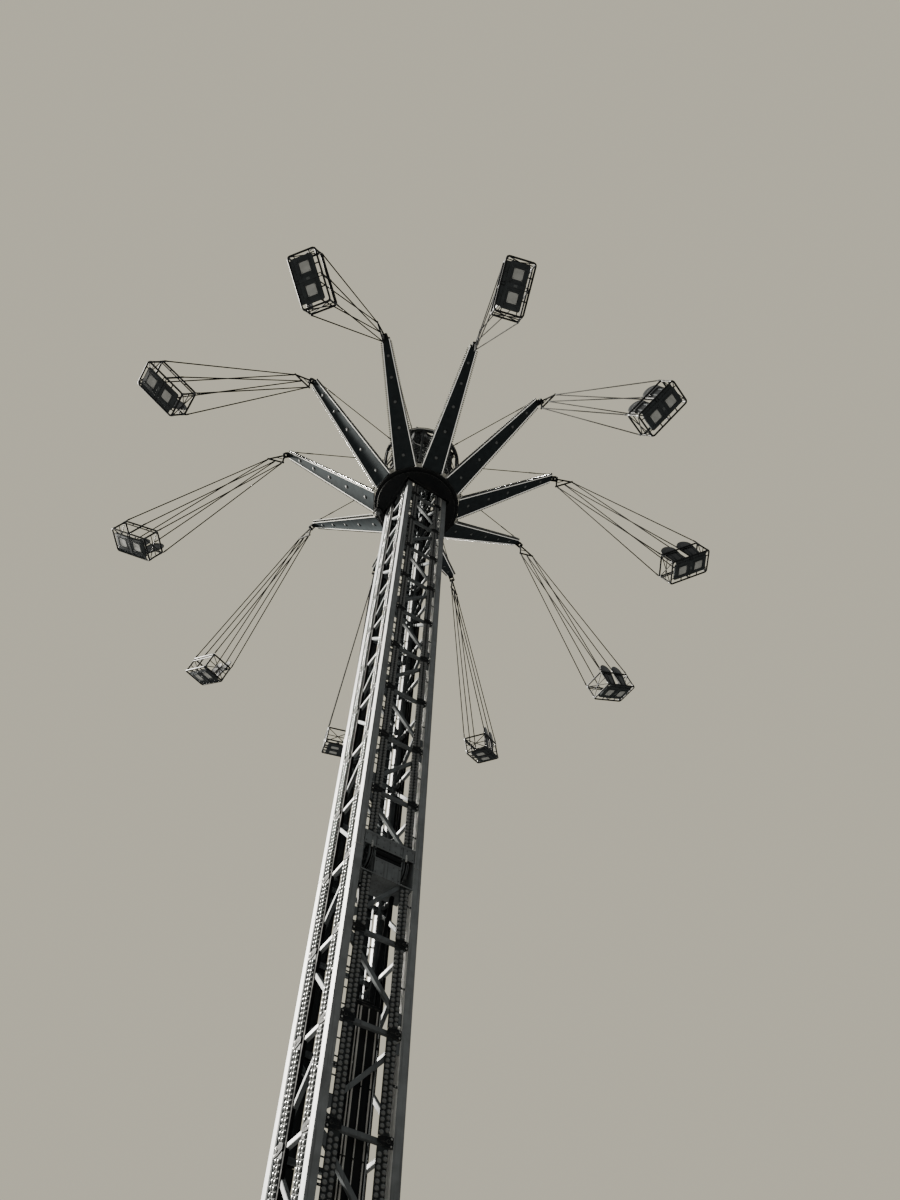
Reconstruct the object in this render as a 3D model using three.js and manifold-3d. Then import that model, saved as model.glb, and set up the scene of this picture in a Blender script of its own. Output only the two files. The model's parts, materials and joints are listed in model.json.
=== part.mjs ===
// Chair swing ride: a lattice tower, a carriage that climbs it, a ten-armed ring that turns on the
// carriage, and ten two-seat gondolas that hang on ropes from the arm tips, flung outward as in flight.
// Millimetres, +Z up, origin on the ground at the tower's centre. The front face of the tower is at -Y.

import * as THREE from 'three';
import { mergeVertices } from 'three/addons/utils/BufferGeometryUtils.js';
import Module from 'manifold-3d';

const wasm = await Module();
wasm.setup();

// Driving dimensions: tower
const TOWER_HALF = 700;
const LEG = 160;
const BAY = 1565;
const BAY_COUNT = 20;
const BASE_HEIGHT = 100;
const BASE_HALF = 860;
const BASE_BEAM = 260;
const BULB_BAND_WIDTH = 175;
const BULB_BAND_SLOT = 70;
const BULB_BAND_THICKNESS = 40;
const BULB_BAND_INSET = 10;
const BRACE = 76;
const BRACE_CLEARANCE = 2;
const TIE_EVERY = 5;
const EDGE_PLATE = 12;
const SEAT_GAP = 0.3;
const TOWER_TOP = BASE_HEIGHT + BAY * BAY_COUNT;

// Driving dimensions: tower head, sheave beam and hoist
const HEAD_PLATE = 60;
const HEAD_SHEAVE_RADIUS = 240;
const SHEAVE_WIDTH = 70;
const HEAD_CLEARANCE = 30;
const HOIST_ROPE = 26;
const ROPE_SPREAD = 360;
const ROPE_SEAT = HOIST_ROPE / 2 + SEAT_GAP;
const ROPE_LINE_Y = -160;
const BEARER = 40;
const BEARER_OFFSET = 90;
const AXLE = 60;
const PLATE = 20;
const SHEAVE_BEAM_BOTTOM = 12120;
const SHEAVE_BEAM_HEIGHT = 900;
const SHEAVE_RADIUS = 260;
const SHEAVE_BEAM_BROW = 300;
const SHEAVE_BEAM_APRON = 380;
const HOIST_HALF = 230;
const HOIST_DEPTH = 340;
const LINK_BAR = 70;
const LINK_SPREAD = 330;
const LINK_FOOT = 110;
const HOIST_TOP = 9900;

// Driving dimensions: carriage and ring
const SLEEVE_INNER = 712;
const SLEEVE_OUTER = 778;
const SLEEVE_BOTTOM = 27200;
const SLEEVE_TOP = 30800;
const SLEEVE_BAND = 320;
const SLEEVE_POST = 230;
const SLEEVE_CLEAR = 12;
const ROLLER_RADIUS = 110;
const ROLLER_WIDTH = 90;
const ROLLER_GAP = 0.5;
const COLLAR_RADIUS = 1140;
const COLLAR_LIP_RADIUS = 1240;
const COLLAR_LIP = 90;
const DRIVE_ANGLE_DEG = 141;
const DRIVE_RADIUS = 1210;
const DRIVE_CASE = 120;
const RING_BOTTOM = 27300;
const RING_TOP = 27760;
const RING_INNER = 1155;
const RING_OUTER = 1350;
const RING_SIDES = 40;
const CAGE_RADIUS = 1250;
const CAGE_BAR = 70;
const CAGE_TOP = 30560;
const CAGE_RING_DEPTH = 140;

// Driving dimensions: arms, ten of them, rising from the ring to the tips
const ARM_COUNT = 10;
const ARM_PHASE_DEG = 7.5;
const PIVOT_RADIUS = 4720;
const PIVOT_HEIGHT = 30150;
const ARM_ROOT = { width: 700, depth: 160, bottom: 27320 };
const ARM_TIP = { radius: 4560, width: 250, depth: 130, bottom: 30215 };
const STAY_HEIGHT = 30490;
const STAY_BAR = 34;
const LUG_THICKNESS = 24;
const LUG_OVERLAP = 120;
const PIN_CLEARANCE = 1.5;
const PIN_RADIUS = 20;
const BARREL_WIDTH = 110;
const BARREL_RADIUS = 46;
const TRAIL_DEG = 7;

// Driving dimensions: hanger and gondola, in the frame of the pivot with the gondola hanging straight
const REST_SWING_DEG = 30;
const HANGER_DROP = 450;
const HANGER_HALF = 310;
const HANGER_BAR = 44;
const ROPE = 18;
const PAN_DROP = 6900;
const PAN = { width: 1160, depth: 520, thickness: 60 };
const CAGE = { halfWidth: 670, halfDepth: 370, height: 500 };
const TUBE = 42;
const SHELL = { width: 500, height: 880, thickness: 50, offset: 290, lean: 0.12, waist: 0.8 };
const FRAME_BOTTOM = -PAN_DROP + PAN.thickness / 2;
const FRAME_TOP = FRAME_BOTTOM + CAGE.height;

const paint = {
  post: new THREE.MeshStandardMaterial({ color: 0xb9b7ad, roughness: 0.5, metalness: 0.3 }),
  brace: new THREE.MeshStandardMaterial({ color: 0x8f9090, roughness: 0.5, metalness: 0.4 }),
  dark: new THREE.MeshStandardMaterial({ color: 0x20262a, roughness: 0.6, metalness: 0.3 }),
  arm: new THREE.MeshStandardMaterial({ color: 0x1b2124, roughness: 0.55, metalness: 0.3 }),
  rope: new THREE.MeshStandardMaterial({ color: 0x55554f, roughness: 0.4, metalness: 0.8 }),
  seat: new THREE.MeshStandardMaterial({ color: 0x262b2f, roughness: 0.6, metalness: 0.1 }),
};

// A closed solid from a three.js geometry, placed by a matrix
function solid(geometry, matrix = new THREE.Matrix4()) {
  const bare = geometry.clone();
  bare.deleteAttribute('normal');
  bare.deleteAttribute('uv');
  bare.applyMatrix4(matrix);
  const merged = mergeVertices(bare, 1e-3);
  const index = Uint32Array.from(merged.index.array);
  const position = Float32Array.from(merged.attributes.position.array);
  return new wasm.Manifold(new wasm.Mesh({ numProp: 3, vertProperties: position, triVerts: index }));
}

const join = (pieces) => pieces.reduce((whole, piece) => whole.add(piece));

// A mesh named for its node, from a joined solid
function toGeometry(body) {
  const { vertProperties, triVerts } = body.getMesh();
  const geometry = new THREE.BufferGeometry();
  geometry.setAttribute('position', new THREE.BufferAttribute(Float32Array.from(vertProperties), 3));
  geometry.setIndex(new THREE.BufferAttribute(Uint32Array.from(triVerts), 1));
  geometry.computeVertexNormals();
  return geometry;
}

function namedMesh(name, geometry, material) {
  const mesh = new THREE.Mesh(geometry, material);
  mesh.name = name;
  return mesh;
}

// A block between two corners
function block(low, high) {
  const size = high.map((value, axis) => value - low[axis]);
  const middle = high.map((value, axis) => (value + low[axis]) / 2);
  return solid(new THREE.BoxGeometry(...size), new THREE.Matrix4().makeTranslation(...middle));
}

// A straight bar from one point to another; four sides make a square bar of that width
function bar(from, to, width, sides = 6) {
  const start = new THREE.Vector3(...from);
  const end = new THREE.Vector3(...to);
  const along = end.clone().sub(start);
  const length = along.length();
  along.normalize();
  const side = new THREE.Vector3(0, 0, 1).cross(along);
  if (side.length() < 1e-6) side.set(1, 0, 0);
  side.normalize();
  const across = side.clone().cross(along);
  const radius = sides === 4 ? width / Math.SQRT2 : width / 2;
  const prism = new THREE.CylinderGeometry(radius, radius, length, sides, 1);
  if (sides === 4) prism.rotateY(Math.PI / 4);
  const middle = start.add(end).multiplyScalar(0.5);
  const turn = new THREE.Matrix4().makeBasis(side, along, across).setPosition(middle);
  return solid(prism, turn);
}

// A prism on an outline of [x, y] points, from one height to another
function prism(points, low, high) {
  const outline = new THREE.Shape(points.map(([x, y]) => new THREE.Vector2(x, y)));
  const body = new THREE.ExtrudeGeometry(outline, { depth: high - low, bevelEnabled: false });
  return solid(body, new THREE.Matrix4().makeTranslation(0, 0, low));
}

const polygon = (radius, sides, turn = 0) => Array.from({ length: sides }, (_, step) => {
  const angle = turn + (2 * Math.PI * step) / sides;
  return [radius * Math.cos(angle), radius * Math.sin(angle)];
});

const square = (half) => [[-half, -half], [half, -half], [half, half], [-half, half]];

// One side of the lattice in the plane y = -TOWER_HALF: a bulb band on each side that ties hold off
// the leg, and behind them a level bar at each bay and zigzag diagonals. The narrow kind has no legs:
// it has edge plates instead, and fits between its neighbours' legs
function latticeSide(withLegs) {
  const legInner = TOWER_HALF - LEG;
  const plateOuter = legInner - SEAT_GAP;
  const bandOuter = legInner - BULB_BAND_SLOT;
  const bandInner = bandOuter - BULB_BAND_WIDTH;
  const front = -TOWER_HALF + BULB_BAND_INSET;
  const bandBack = front + BULB_BAND_THICKNESS;
  const barY = bandBack + BRACE_CLEARANCE + BRACE / 2;
  const post = withLegs
    ? { inner: legInner, outer: TOWER_HALF, front: -TOWER_HALF, back: -legInner }
    : { inner: plateOuter - EDGE_PLATE, outer: plateOuter, front, back: barY + BRACE / 2 };
  const reach = post.inner + EDGE_PLATE / 2;
  const tieEnd = bandOuter - EDGE_PLATE / 2;
  const foot = BASE_HEIGHT + SEAT_GAP;
  const sideBlock = (side, x, y, z) => {
    const [low, high] = [side * x[0], side * x[1]].sort((a, b) => a - b);
    return block([low, y[0], z[0]], [high, y[1], z[1]]);
  };
  const pieces = [];
  for (const side of [-1, 1]) {
    pieces.push(sideBlock(side, [bandInner, bandOuter], [front, bandBack], [foot + LEG, TOWER_TOP]));
    pieces.push(sideBlock(side, [post.inner, post.outer], [post.front, post.back], [foot, TOWER_TOP]));
    for (let level = 1; level < BAY_COUNT; level += TIE_EVERY) {
      const low = BASE_HEIGHT + level * BAY - BRACE;
      const depth = [front + BULB_BAND_INSET, bandBack - BULB_BAND_INSET];
      pieces.push(sideBlock(side, [tieEnd, reach], depth, [low, low + BRACE]));
    }
  }
  for (let level = 1; level <= BAY_COUNT; level += 1) {
    const height = BASE_HEIGHT + level * BAY - BRACE;
    pieces.push(bar([-reach, barY, height], [reach, barY, height], BRACE, 4));
  }
  for (let level = 0; level < BAY_COUNT; level += 1) {
    const low = BASE_HEIGHT + level * BAY + 2 * BRACE;
    const high = low + BAY - 5 * BRACE;
    const lean = level % 2 === 1 ? 1 : -1;
    pieces.push(bar([-lean * reach, barY, low], [lean * reach, barY, high], BRACE, 4));
  }
  const edge = post.outer;
  return join(pieces).intersect(block([-edge, -TOWER_HALF, foot], [edge, 0, TOWER_TOP]));
}

// The foot: a square of beams with a cross through the middle, bolted to the ground
function baseFrame() {
  let body = prism(square(BASE_HALF), 0, BASE_HEIGHT);
  const inner = BASE_HALF - BASE_BEAM;
  const half = BASE_BEAM / 2;
  for (const x of [-1, 1]) {
    for (const y of [-1, 1]) {
      const low = [Math.min(x * half, x * inner), Math.min(y * half, y * inner), -1];
      const high = [Math.max(x * half, x * inner), Math.max(y * half, y * inner), BASE_HEIGHT + 1];
      body = body.subtract(block(low, high));
    }
  }
  return body;
}

// A wheel whose axle lies along X
function wheelAlongX(x, y, z, radius, width, sides = 20) {
  const wheel = new THREE.CylinderGeometry(radius, radius, width, sides);
  wheel.rotateZ(Math.PI / 2);
  return solid(wheel, new THREE.Matrix4().makeTranslation(x, y, z));
}

// The head: a plate on the legs, bearers, and two rope wheels between them
function towerHead() {
  const low = TOWER_TOP + SEAT_GAP;
  const axle = low + HEAD_PLATE + HEAD_SHEAVE_RADIUS + HEAD_CLEARANCE;
  const pieces = [prism(square(TOWER_HALF), low, low + HEAD_PLATE)];
  for (const x of [-1, 1]) {
    const middle = x * ROPE_SPREAD;
    for (const side of [-1, 1]) {
      const at = middle + side * BEARER_OFFSET;
      const near = [at - BEARER / 2, ROPE_LINE_Y, low];
      const far = [at + BEARER / 2, ROPE_LINE_Y + 2 * HEAD_SHEAVE_RADIUS, axle + BEARER];
      pieces.push(block(near, far));
    }
    const wheelY = ROPE_LINE_Y + HEAD_SHEAVE_RADIUS;
    pieces.push(wheelAlongX(middle, wheelY, axle, HEAD_SHEAVE_RADIUS - ROPE_SEAT, SHEAVE_WIDTH));
    const reach = BEARER_OFFSET + BEARER;
    pieces.push(bar([middle - reach, wheelY, axle], [middle + reach, wheelY, axle], AXLE, 8));
  }
  const slot = SHEAVE_WIDTH;
  let body = join(pieces);
  for (const x of [-1, 1]) {
    const middle = x * ROPE_SPREAD;
    const near = [middle - slot, ROPE_LINE_Y - slot, low - 1];
    body = body.subtract(block(near, [middle + slot, ROPE_LINE_Y + slot / 2, low + HEAD_PLATE + 1]));
  }
  return body;
}

// The boxed beam across the front of the shaft, with a rope wheel at each end
function sheaveBeam() {
  const low = SHEAVE_BEAM_BOTTOM;
  const high = low + SHEAVE_BEAM_HEIGHT;
  const front = -TOWER_HALF + BULB_BAND_INSET;
  const wheelY = ROPE_LINE_Y - SHEAVE_RADIUS;
  const back = 2 * wheelY - front;
  const wide = TOWER_HALF - LEG - SEAT_GAP;
  const inner = ROPE_SPREAD - SHEAVE_WIDTH;
  const axle = (low + high) / 2;
  const pieces = [
    block([-wide, front, high - SHEAVE_BEAM_BROW], [wide, front + PLATE, high]),
    block([-wide, back - PLATE, high - SHEAVE_BEAM_BROW], [wide, back, high]),
    block([-wide, front, high - PLATE], [wide, back, high]),
    block([-wide, front, low], [wide, back, low + PLATE]),
    block([-wide, front, low], [-wide + PLATE, back, high]),
    block([wide - PLATE, front, low], [wide, back, high]),
    block([-inner, front, low], [inner, front + PLATE, low + SHEAVE_BEAM_APRON]),
    block([-inner, back - PLATE, low], [inner, back, high]),
    block([-inner, front, low], [-inner + PLATE, back, high]),
    block([inner - PLATE, front, low], [inner, back, high]),
  ];
  for (const side of [-1, 1]) {
    pieces.push(wheelAlongX(side * ROPE_SPREAD, wheelY, axle, SHEAVE_RADIUS - ROPE_SEAT, SHEAVE_WIDTH));
    const reach = [side * inner, side * wide].sort((a, b) => a - b);
    pieces.push(bar([reach[0], wheelY, axle], [reach[1], wheelY, axle], AXLE, 8));
  }
  let body = join(pieces);
  for (const side of [-1, 1]) {
    const middle = side * ROPE_SPREAD;
    const near = [middle - SHEAVE_WIDTH / 2, ROPE_LINE_Y - SHEAVE_WIDTH, high - SHEAVE_BEAM_BROW - 1];
    const far = [middle + SHEAVE_WIDTH / 2, ROPE_LINE_Y + SHEAVE_WIDTH, high + 1];
    body = body.subtract(block(near, far));
  }
  return body;
}

// What the sheave beam takes up in the front side of the lattice, with its seating gap
function sheaveBeamSeat() {
  const wide = TOWER_HALF - LEG;
  const low = SHEAVE_BEAM_BOTTOM - SEAT_GAP;
  const high = SHEAVE_BEAM_BOTTOM + SHEAVE_BEAM_HEIGHT + SEAT_GAP;
  return block([-wide, -TOWER_HALF - 1, low], [wide, 0, high]);
}

// The dark hoist mast inside the lower shaft, with two links from its top to the sheave beam
function hoistMast() {
  const behindBars = -TOWER_HALF + BULB_BAND_INSET + BULB_BAND_THICKNESS + 2 * BRACE;
  const foot = BASE_HEIGHT + SEAT_GAP;
  const y = behindBars + HOIST_DEPTH / 2;
  const beamLow = SHEAVE_BEAM_BOTTOM - SEAT_GAP;
  const links = [1, -1].map((side) => {
    const top = [side * LINK_SPREAD, y, beamLow + LINK_BAR];
    return bar(top, [side * LINK_FOOT, y, HOIST_TOP - LINK_BAR], LINK_BAR, 4);
  });
  const span = 2 * TOWER_HALF;
  const mast = block([-HOIST_HALF, behindBars, foot], [HOIST_HALF, behindBars + HOIST_DEPTH, HOIST_TOP]);
  return join([mast, ...links]).subtract(block([-span, -span, beamLow], [span, span, beamLow + span]));
}

// A hoist rope from the rim of a wheel in the sheave beam to the rim of the wheel in the head above it
function hoistRope(side) {
  const low = SHEAVE_BEAM_BOTTOM + SHEAVE_BEAM_HEIGHT / 2;
  const high = TOWER_TOP + HEAD_PLATE + HEAD_SHEAVE_RADIUS + HEAD_CLEARANCE;
  const x = side * ROPE_SPREAD;
  return bar([x, ROPE_LINE_Y, low], [x, ROPE_LINE_Y, high], HOIST_ROPE, 6);
}

// The carriage: a square sleeve round the tower with a window in each side
function carriageSleeve() {
  const inner = square(SLEEVE_INNER);
  const outer = square(SLEEVE_OUTER);
  let body = prism(outer, SLEEVE_BOTTOM, SLEEVE_TOP).subtract(prism(inner, SLEEVE_BOTTOM - 1, SLEEVE_TOP + 1));
  const open = SLEEVE_OUTER - SLEEVE_POST;
  const reach = SLEEVE_OUTER + 1;
  const low = RING_TOP + SLEEVE_BAND / 2;
  const high = SLEEVE_TOP - SLEEVE_BAND;
  const middle = (low + high) / 2;
  const half = SLEEVE_BAND / 4;
  for (const [from, to] of [[low, middle - half], [middle + half, high]]) {
    body = body.subtract(block([-open, -reach, from], [open, reach, to]));
    body = body.subtract(block([-reach, -open, from], [reach, open, to]));
  }
  const guide = guideBlock();
  for (let corner = 0; corner < 4; corner += 1) {
    body = body.add(guide.rotate([0, 0, corner * 90]));
  }
  return body;
}

// One guide wheel block at the top of the sleeve, running on the two faces of a leg
function guideBlock() {
  const face = TOWER_HALF + ROLLER_GAP + ROLLER_RADIUS;
  const low = SLEEVE_TOP - PLATE;
  const height = SLEEVE_TOP + ROLLER_RADIUS + 60;
  const centre = TOWER_HALF - LEG / 2;
  const pieces = [];
  const wheel = new THREE.CylinderGeometry(ROLLER_RADIUS, ROLLER_RADIUS, ROLLER_WIDTH, 12);
  wheel.rotateZ(Math.PI / 2);
  pieces.push(solid(wheel, new THREE.Matrix4().makeTranslation(centre, face, height)));
  const turned = wheel.clone().rotateZ(Math.PI / 2);
  pieces.push(solid(turned, new THREE.Matrix4().makeTranslation(face, centre, height)));
  const cheekIn = centre - ROLLER_WIDTH / 2 - PLATE;
  const clear = TOWER_HALF + SLEEVE_CLEAR;
  const far = face + PLATE;
  const top = height + PLATE;
  pieces.push(block([cheekIn, clear, low], [centre - ROLLER_WIDTH / 2 + 1, far, top]));
  pieces.push(block([centre + ROLLER_WIDTH / 2 - 1, clear, low], [far, far, top]));
  pieces.push(block([clear, cheekIn, low], [far, centre - ROLLER_WIDTH / 2 + 1, top]));
  pieces.push(block([clear, centre + ROLLER_WIDTH / 2 - 1, low], [far, far, top]));
  return join(pieces);
}

// The collar on the sleeve that carries and centres the turning ring
function slewCollar() {
  const lipTop = RING_BOTTOM - ROLLER_GAP;
  const disc = prism(polygon(COLLAR_LIP_RADIUS, RING_SIDES), lipTop - COLLAR_LIP, lipTop);
  const wall = prism(polygon(COLLAR_RADIUS, RING_SIDES), lipTop - 1, RING_TOP - COLLAR_LIP);
  const hole = prism(square(SLEEVE_OUTER + SEAT_GAP), lipTop - COLLAR_LIP - 1, RING_TOP);
  const bowl = prism(polygon(COLLAR_RADIUS - PLATE, RING_SIDES), lipTop, RING_TOP);
  return disc.add(wall.subtract(bowl)).subtract(hole);
}

// The slewing drive under the collar: a round gear case with a motor flange
function slewDrive() {
  const top = RING_BOTTOM - ROLLER_GAP - COLLAR_LIP - SEAT_GAP;
  const angle = THREE.MathUtils.degToRad(DRIVE_ANGLE_DEG);
  const x = DRIVE_RADIUS * Math.cos(angle);
  const y = DRIVE_RADIUS * Math.sin(angle);
  const shift = polygon(DRIVE_CASE, 16).map(([dx, dy]) => [x + dx, y + dy]);
  const small = polygon(DRIVE_CASE * 0.6, 16).map(([dx, dy]) => [x + dx, y + dy]);
  return prism(shift, top - DRIVE_CASE, top).add(prism(small, top - 2 * DRIVE_CASE, top - DRIVE_CASE + 1));
}

function turningRing() {
  const outer = prism(polygon(RING_OUTER, RING_SIDES), RING_BOTTOM, RING_TOP);
  return outer.subtract(prism(polygon(RING_INNER, RING_SIDES), RING_BOTTOM - 1, RING_TOP + 1));
}

// The cage on the ring: a post between each pair of arms and the upper ring that the stays pull on
function turningCage() {
  const low = CAGE_TOP - CAGE_RING_DEPTH;
  const reach = CAGE_BAR / 2 + PLATE;
  const outer = prism(polygon(CAGE_RADIUS + reach, RING_SIDES), low, CAGE_TOP);
  let body = outer.subtract(prism(polygon(CAGE_RADIUS - reach, RING_SIDES), low - 1, CAGE_TOP + 1));
  for (let index = 0; index < ARM_COUNT; index += 1) {
    const angle = (2 * Math.PI * (index + 0.5)) / ARM_COUNT;
    const x = CAGE_RADIUS * Math.cos(angle);
    const y = CAGE_RADIUS * Math.sin(angle);
    body = body.add(bar([x, y, RING_TOP + SEAT_GAP], [x, y, low + 1], CAGE_BAR, 4));
  }
  return body;
}

// Turns a piece at an arm tip about the upright through the pivot, so that it trails behind the arm
function trailing(piece) {
  return piece.translate([-PIVOT_RADIUS, 0, 0]).rotate([0, 0, -TRAIL_DEG]).translate([PIVOT_RADIUS, 0, 0]);
}

// An arm in its own frame, X outward: a tapering box, the fork and pin at its tip, and its stay rod
function arm() {
  const rise = (ARM_TIP.bottom - ARM_ROOT.bottom) / (ARM_TIP.radius - RING_OUTER);
  const upright = Math.hypot(1, rise);
  const ends = [
    { r: RING_OUTER - PLATE, z: ARM_ROOT.bottom - PLATE * rise, w: ARM_ROOT.width, d: ARM_ROOT.depth * upright },
    { r: ARM_TIP.radius, z: ARM_TIP.bottom, w: ARM_TIP.width, d: ARM_TIP.depth * upright },
  ];
  const beam = new THREE.BoxGeometry(1, 1, 1);
  const corner = beam.attributes.position;
  for (let index = 0; index < corner.count; index += 1) {
    const end = corner.getX(index) < 0 ? ends[0] : ends[1];
    const z = corner.getZ(index) < 0 ? end.z : end.z + end.d;
    corner.setXYZ(index, end.r, corner.getY(index) * end.w, z);
  }
  const lugIn = BARREL_WIDTH / 2 + ROLLER_GAP;
  const lugOut = lugIn + LUG_THICKNESS;
  const lugStart = ARM_TIP.radius - LUG_OVERLAP;
  const lugEnd = PIVOT_RADIUS + BARREL_RADIUS;
  const lugLow = PIVOT_HEIGHT - BARREL_RADIUS;
  const lugHigh = ARM_TIP.bottom + BARREL_RADIUS;
  const stayFoot = ARM_TIP.radius - LUG_OVERLAP;
  const cageFace = CAGE_RADIUS + (CAGE_BAR / 2 + PLATE) + SEAT_GAP;
  const pieces = [
    solid(beam),
    trailing(block([lugStart, lugIn, lugLow], [lugEnd, lugOut, lugHigh])),
    trailing(block([lugStart, -lugOut, lugLow], [lugEnd, -lugIn, lugHigh])),
    trailing(bar([PIVOT_RADIUS, -lugOut, PIVOT_HEIGHT], [PIVOT_RADIUS, lugOut, PIVOT_HEIGHT], 2 * PIN_RADIUS, 8)),
    block([stayFoot, -STAY_BAR, ARM_TIP.bottom], [ARM_TIP.radius, STAY_BAR, STAY_HEIGHT + STAY_BAR]),
    bar([cageFace, 0, STAY_HEIGHT], [stayFoot + 1, 0, STAY_HEIGHT], STAY_BAR, 6),
  ];
  const seat = prism(polygon(RING_OUTER + SEAT_GAP, RING_SIDES), RING_BOTTOM - BAY, RING_TOP + BAY);
  return join(pieces).subtract(seat);
}

// The hanger in the frame of its pivot, hanging straight: an eye on the pin, a spreader, and six ropes
function hanger() {
  const half = BARREL_WIDTH / 2;
  const barrel = bar([0, -half, 0], [0, half, 0], 2 * BARREL_RADIUS, 10);
  const hole = bar([0, -half - 1, 0], [0, half + 1, 0], 2 * (PIN_RADIUS + PIN_CLEARANCE), 10);
  const end = (side) => [side * HANGER_HALF, 0, -HANGER_DROP];
  const pieces = [
    barrel,
    bar([-BARREL_RADIUS / 2, 0, -BARREL_RADIUS / 2], end(-1), HANGER_BAR, 4),
    bar([BARREL_RADIUS / 2, 0, -BARREL_RADIUS / 2], end(1), HANGER_BAR, 4),
    bar([-HANGER_HALF - HANGER_BAR, 0, -HANGER_DROP], [HANGER_HALF + HANGER_BAR, 0, -HANGER_DROP], HANGER_BAR, 4),
  ];
  const foot = FRAME_TOP - TUBE;
  for (const y of [-1, 1]) {
    const footY = y * CAGE.halfDepth;
    for (const x of [-1, 0, 1]) {
      const top = [x * HANGER_HALF, 0, -HANGER_DROP];
      pieces.push(bar(top, [x * CAGE.halfWidth, footY, foot], ROPE, 4));
    }
  }
  const railTop = FRAME_TOP + TUBE / 2 + SEAT_GAP;
  const span = 2 * CAGE.halfWidth;
  const below = block([-span, -span, -2 * PAN_DROP], [span, span, railTop]);
  return join(pieces).subtract(hole).subtract(below);
}

// An oval seat back in the plane of X and Z, leaning back
function seatShell(x) {
  const radius = SHELL.width / 2;
  const straight = SHELL.height - 2 * radius;
  const outline = new THREE.Shape();
  outline.absarc(0, radius, radius * SHELL.waist, Math.PI, 2 * Math.PI, false);
  outline.absarc(0, radius + straight, radius, 0, Math.PI, false);
  const body = new THREE.ExtrudeGeometry(outline, { depth: SHELL.thickness, bevelEnabled: false, curveSegments: 5 });
  const stand = new THREE.Matrix4().makeRotationX(Math.PI / 2 + SHELL.lean);
  const place = new THREE.Matrix4().makeTranslation(x, -PAN.depth / 2 + SHELL.thickness, -PAN_DROP);
  return solid(body, place.multiply(stand));
}

// The gondola in the frame of its pivot: seat pan, a tube frame round it, and two seat backs
function gondola() {
  const { halfWidth, halfDepth } = CAGE;
  const pieces = [
    block([-PAN.width / 2, -PAN.depth / 2, -PAN_DROP], [PAN.width / 2, PAN.depth / 2, -PAN_DROP + PAN.thickness]),
    seatShell(-SHELL.offset),
    seatShell(SHELL.offset),
  ];
  const over = TUBE / 2;
  for (const z of [FRAME_BOTTOM, FRAME_TOP]) {
    for (const side of [-1, 1]) {
      pieces.push(bar([-halfWidth - over, side * halfDepth, z], [halfWidth + over, side * halfDepth, z], TUBE, 4));
      pieces.push(bar([side * halfWidth, -halfDepth, z], [side * halfWidth, halfDepth, z], TUBE, 4));
    }
  }
  for (const y of [-halfDepth, halfDepth]) {
    for (const x of [-halfWidth, 0, halfWidth]) {
      pieces.push(bar([x, y, FRAME_BOTTOM], [x, y, FRAME_TOP], TUBE, 4));
    }
  }
  for (const x of [-SHELL.offset, SHELL.offset]) {
    pieces.push(bar([x, -halfDepth, FRAME_BOTTOM], [x, halfDepth, FRAME_BOTTOM], TUBE * 0.8, 4));
  }
  return join(pieces);
}

const model = new THREE.Group();

function add(parent, name, body, material) {
  const mesh = namedMesh(name, toGeometry(body), material);
  parent.add(mesh);
  return mesh;
}

const tower = new THREE.Group();
const wholeSide = latticeSide(true);
const narrowSide = latticeSide(false);
add(tower, 'base_frame', baseFrame(), paint.dark);
add(tower, 'tower_front_side', wholeSide.subtract(sheaveBeamSeat()), paint.post);
add(tower, 'tower_rear_side', wholeSide, paint.post).rotation.z = Math.PI;
add(tower, 'tower_right_side', narrowSide, paint.brace).rotation.z = Math.PI / 2;
add(tower, 'tower_left_side', narrowSide, paint.brace).rotation.z = -Math.PI / 2;
add(tower, 'tower_head', towerHead(), paint.dark);
add(tower, 'sheave_beam', sheaveBeam(), paint.dark);
add(tower, 'hoist_mast', hoistMast(), paint.dark);
add(tower, 'hoist_rope_left', hoistRope(-1), paint.rope);
add(tower, 'hoist_rope_right', hoistRope(1), paint.rope);
model.add(tower);

const carriage = new THREE.Group();
add(carriage, 'carriage_sleeve', carriageSleeve(), paint.dark);
add(carriage, 'slew_collar', slewCollar(), paint.dark);
add(carriage, 'slew_drive', slewDrive(), paint.dark);
model.add(carriage);

const rotor = new THREE.Group();
rotor.rotation.z = THREE.MathUtils.degToRad(ARM_PHASE_DEG);
add(rotor, 'turning_ring', turningRing(), paint.arm);
add(rotor, 'turning_cage', turningCage(), paint.dark);
const armBody = arm();
const hangerBody = hanger();
const gondolaBody = gondola();
for (let index = 0; index < ARM_COUNT; index += 1) {
  const label = String(index + 1).padStart(2, '0');
  const spoke = new THREE.Group();
  spoke.rotation.z = (2 * Math.PI * index) / ARM_COUNT;
  add(spoke, `arm_${label}`, armBody, paint.arm);
  const swing = new THREE.Group();
  swing.position.set(PIVOT_RADIUS, 0, PIVOT_HEIGHT);
  swing.rotation.order = 'ZYX';
  swing.rotation.y = -THREE.MathUtils.degToRad(REST_SWING_DEG);
  swing.rotation.z = -THREE.MathUtils.degToRad(TRAIL_DEG);
  add(swing, `hanger_${label}`, hangerBody, paint.rope);
  add(swing, `gondola_${label}`, gondolaBody, paint.seat);
  spoke.add(swing);
  rotor.add(spoke);
}
model.add(rotor);

export default model;
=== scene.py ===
"""Chair swing ride: the visible machine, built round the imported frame.

A lattice tower with bulb strips, a carriage with a turning ring of ten rising arms, and ten two-seat
gondolas on wire ropes. Metres, +Z up, origin on the ground at the tower's centre, front face at -Y.
"""

from __future__ import annotations

import json
import logging
import math
from dataclasses import dataclass, field
from enum import Enum
from typing import Callable, Iterable, Sequence

import bpy
import numpy as np
from mathutils import Matrix, Vector

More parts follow.
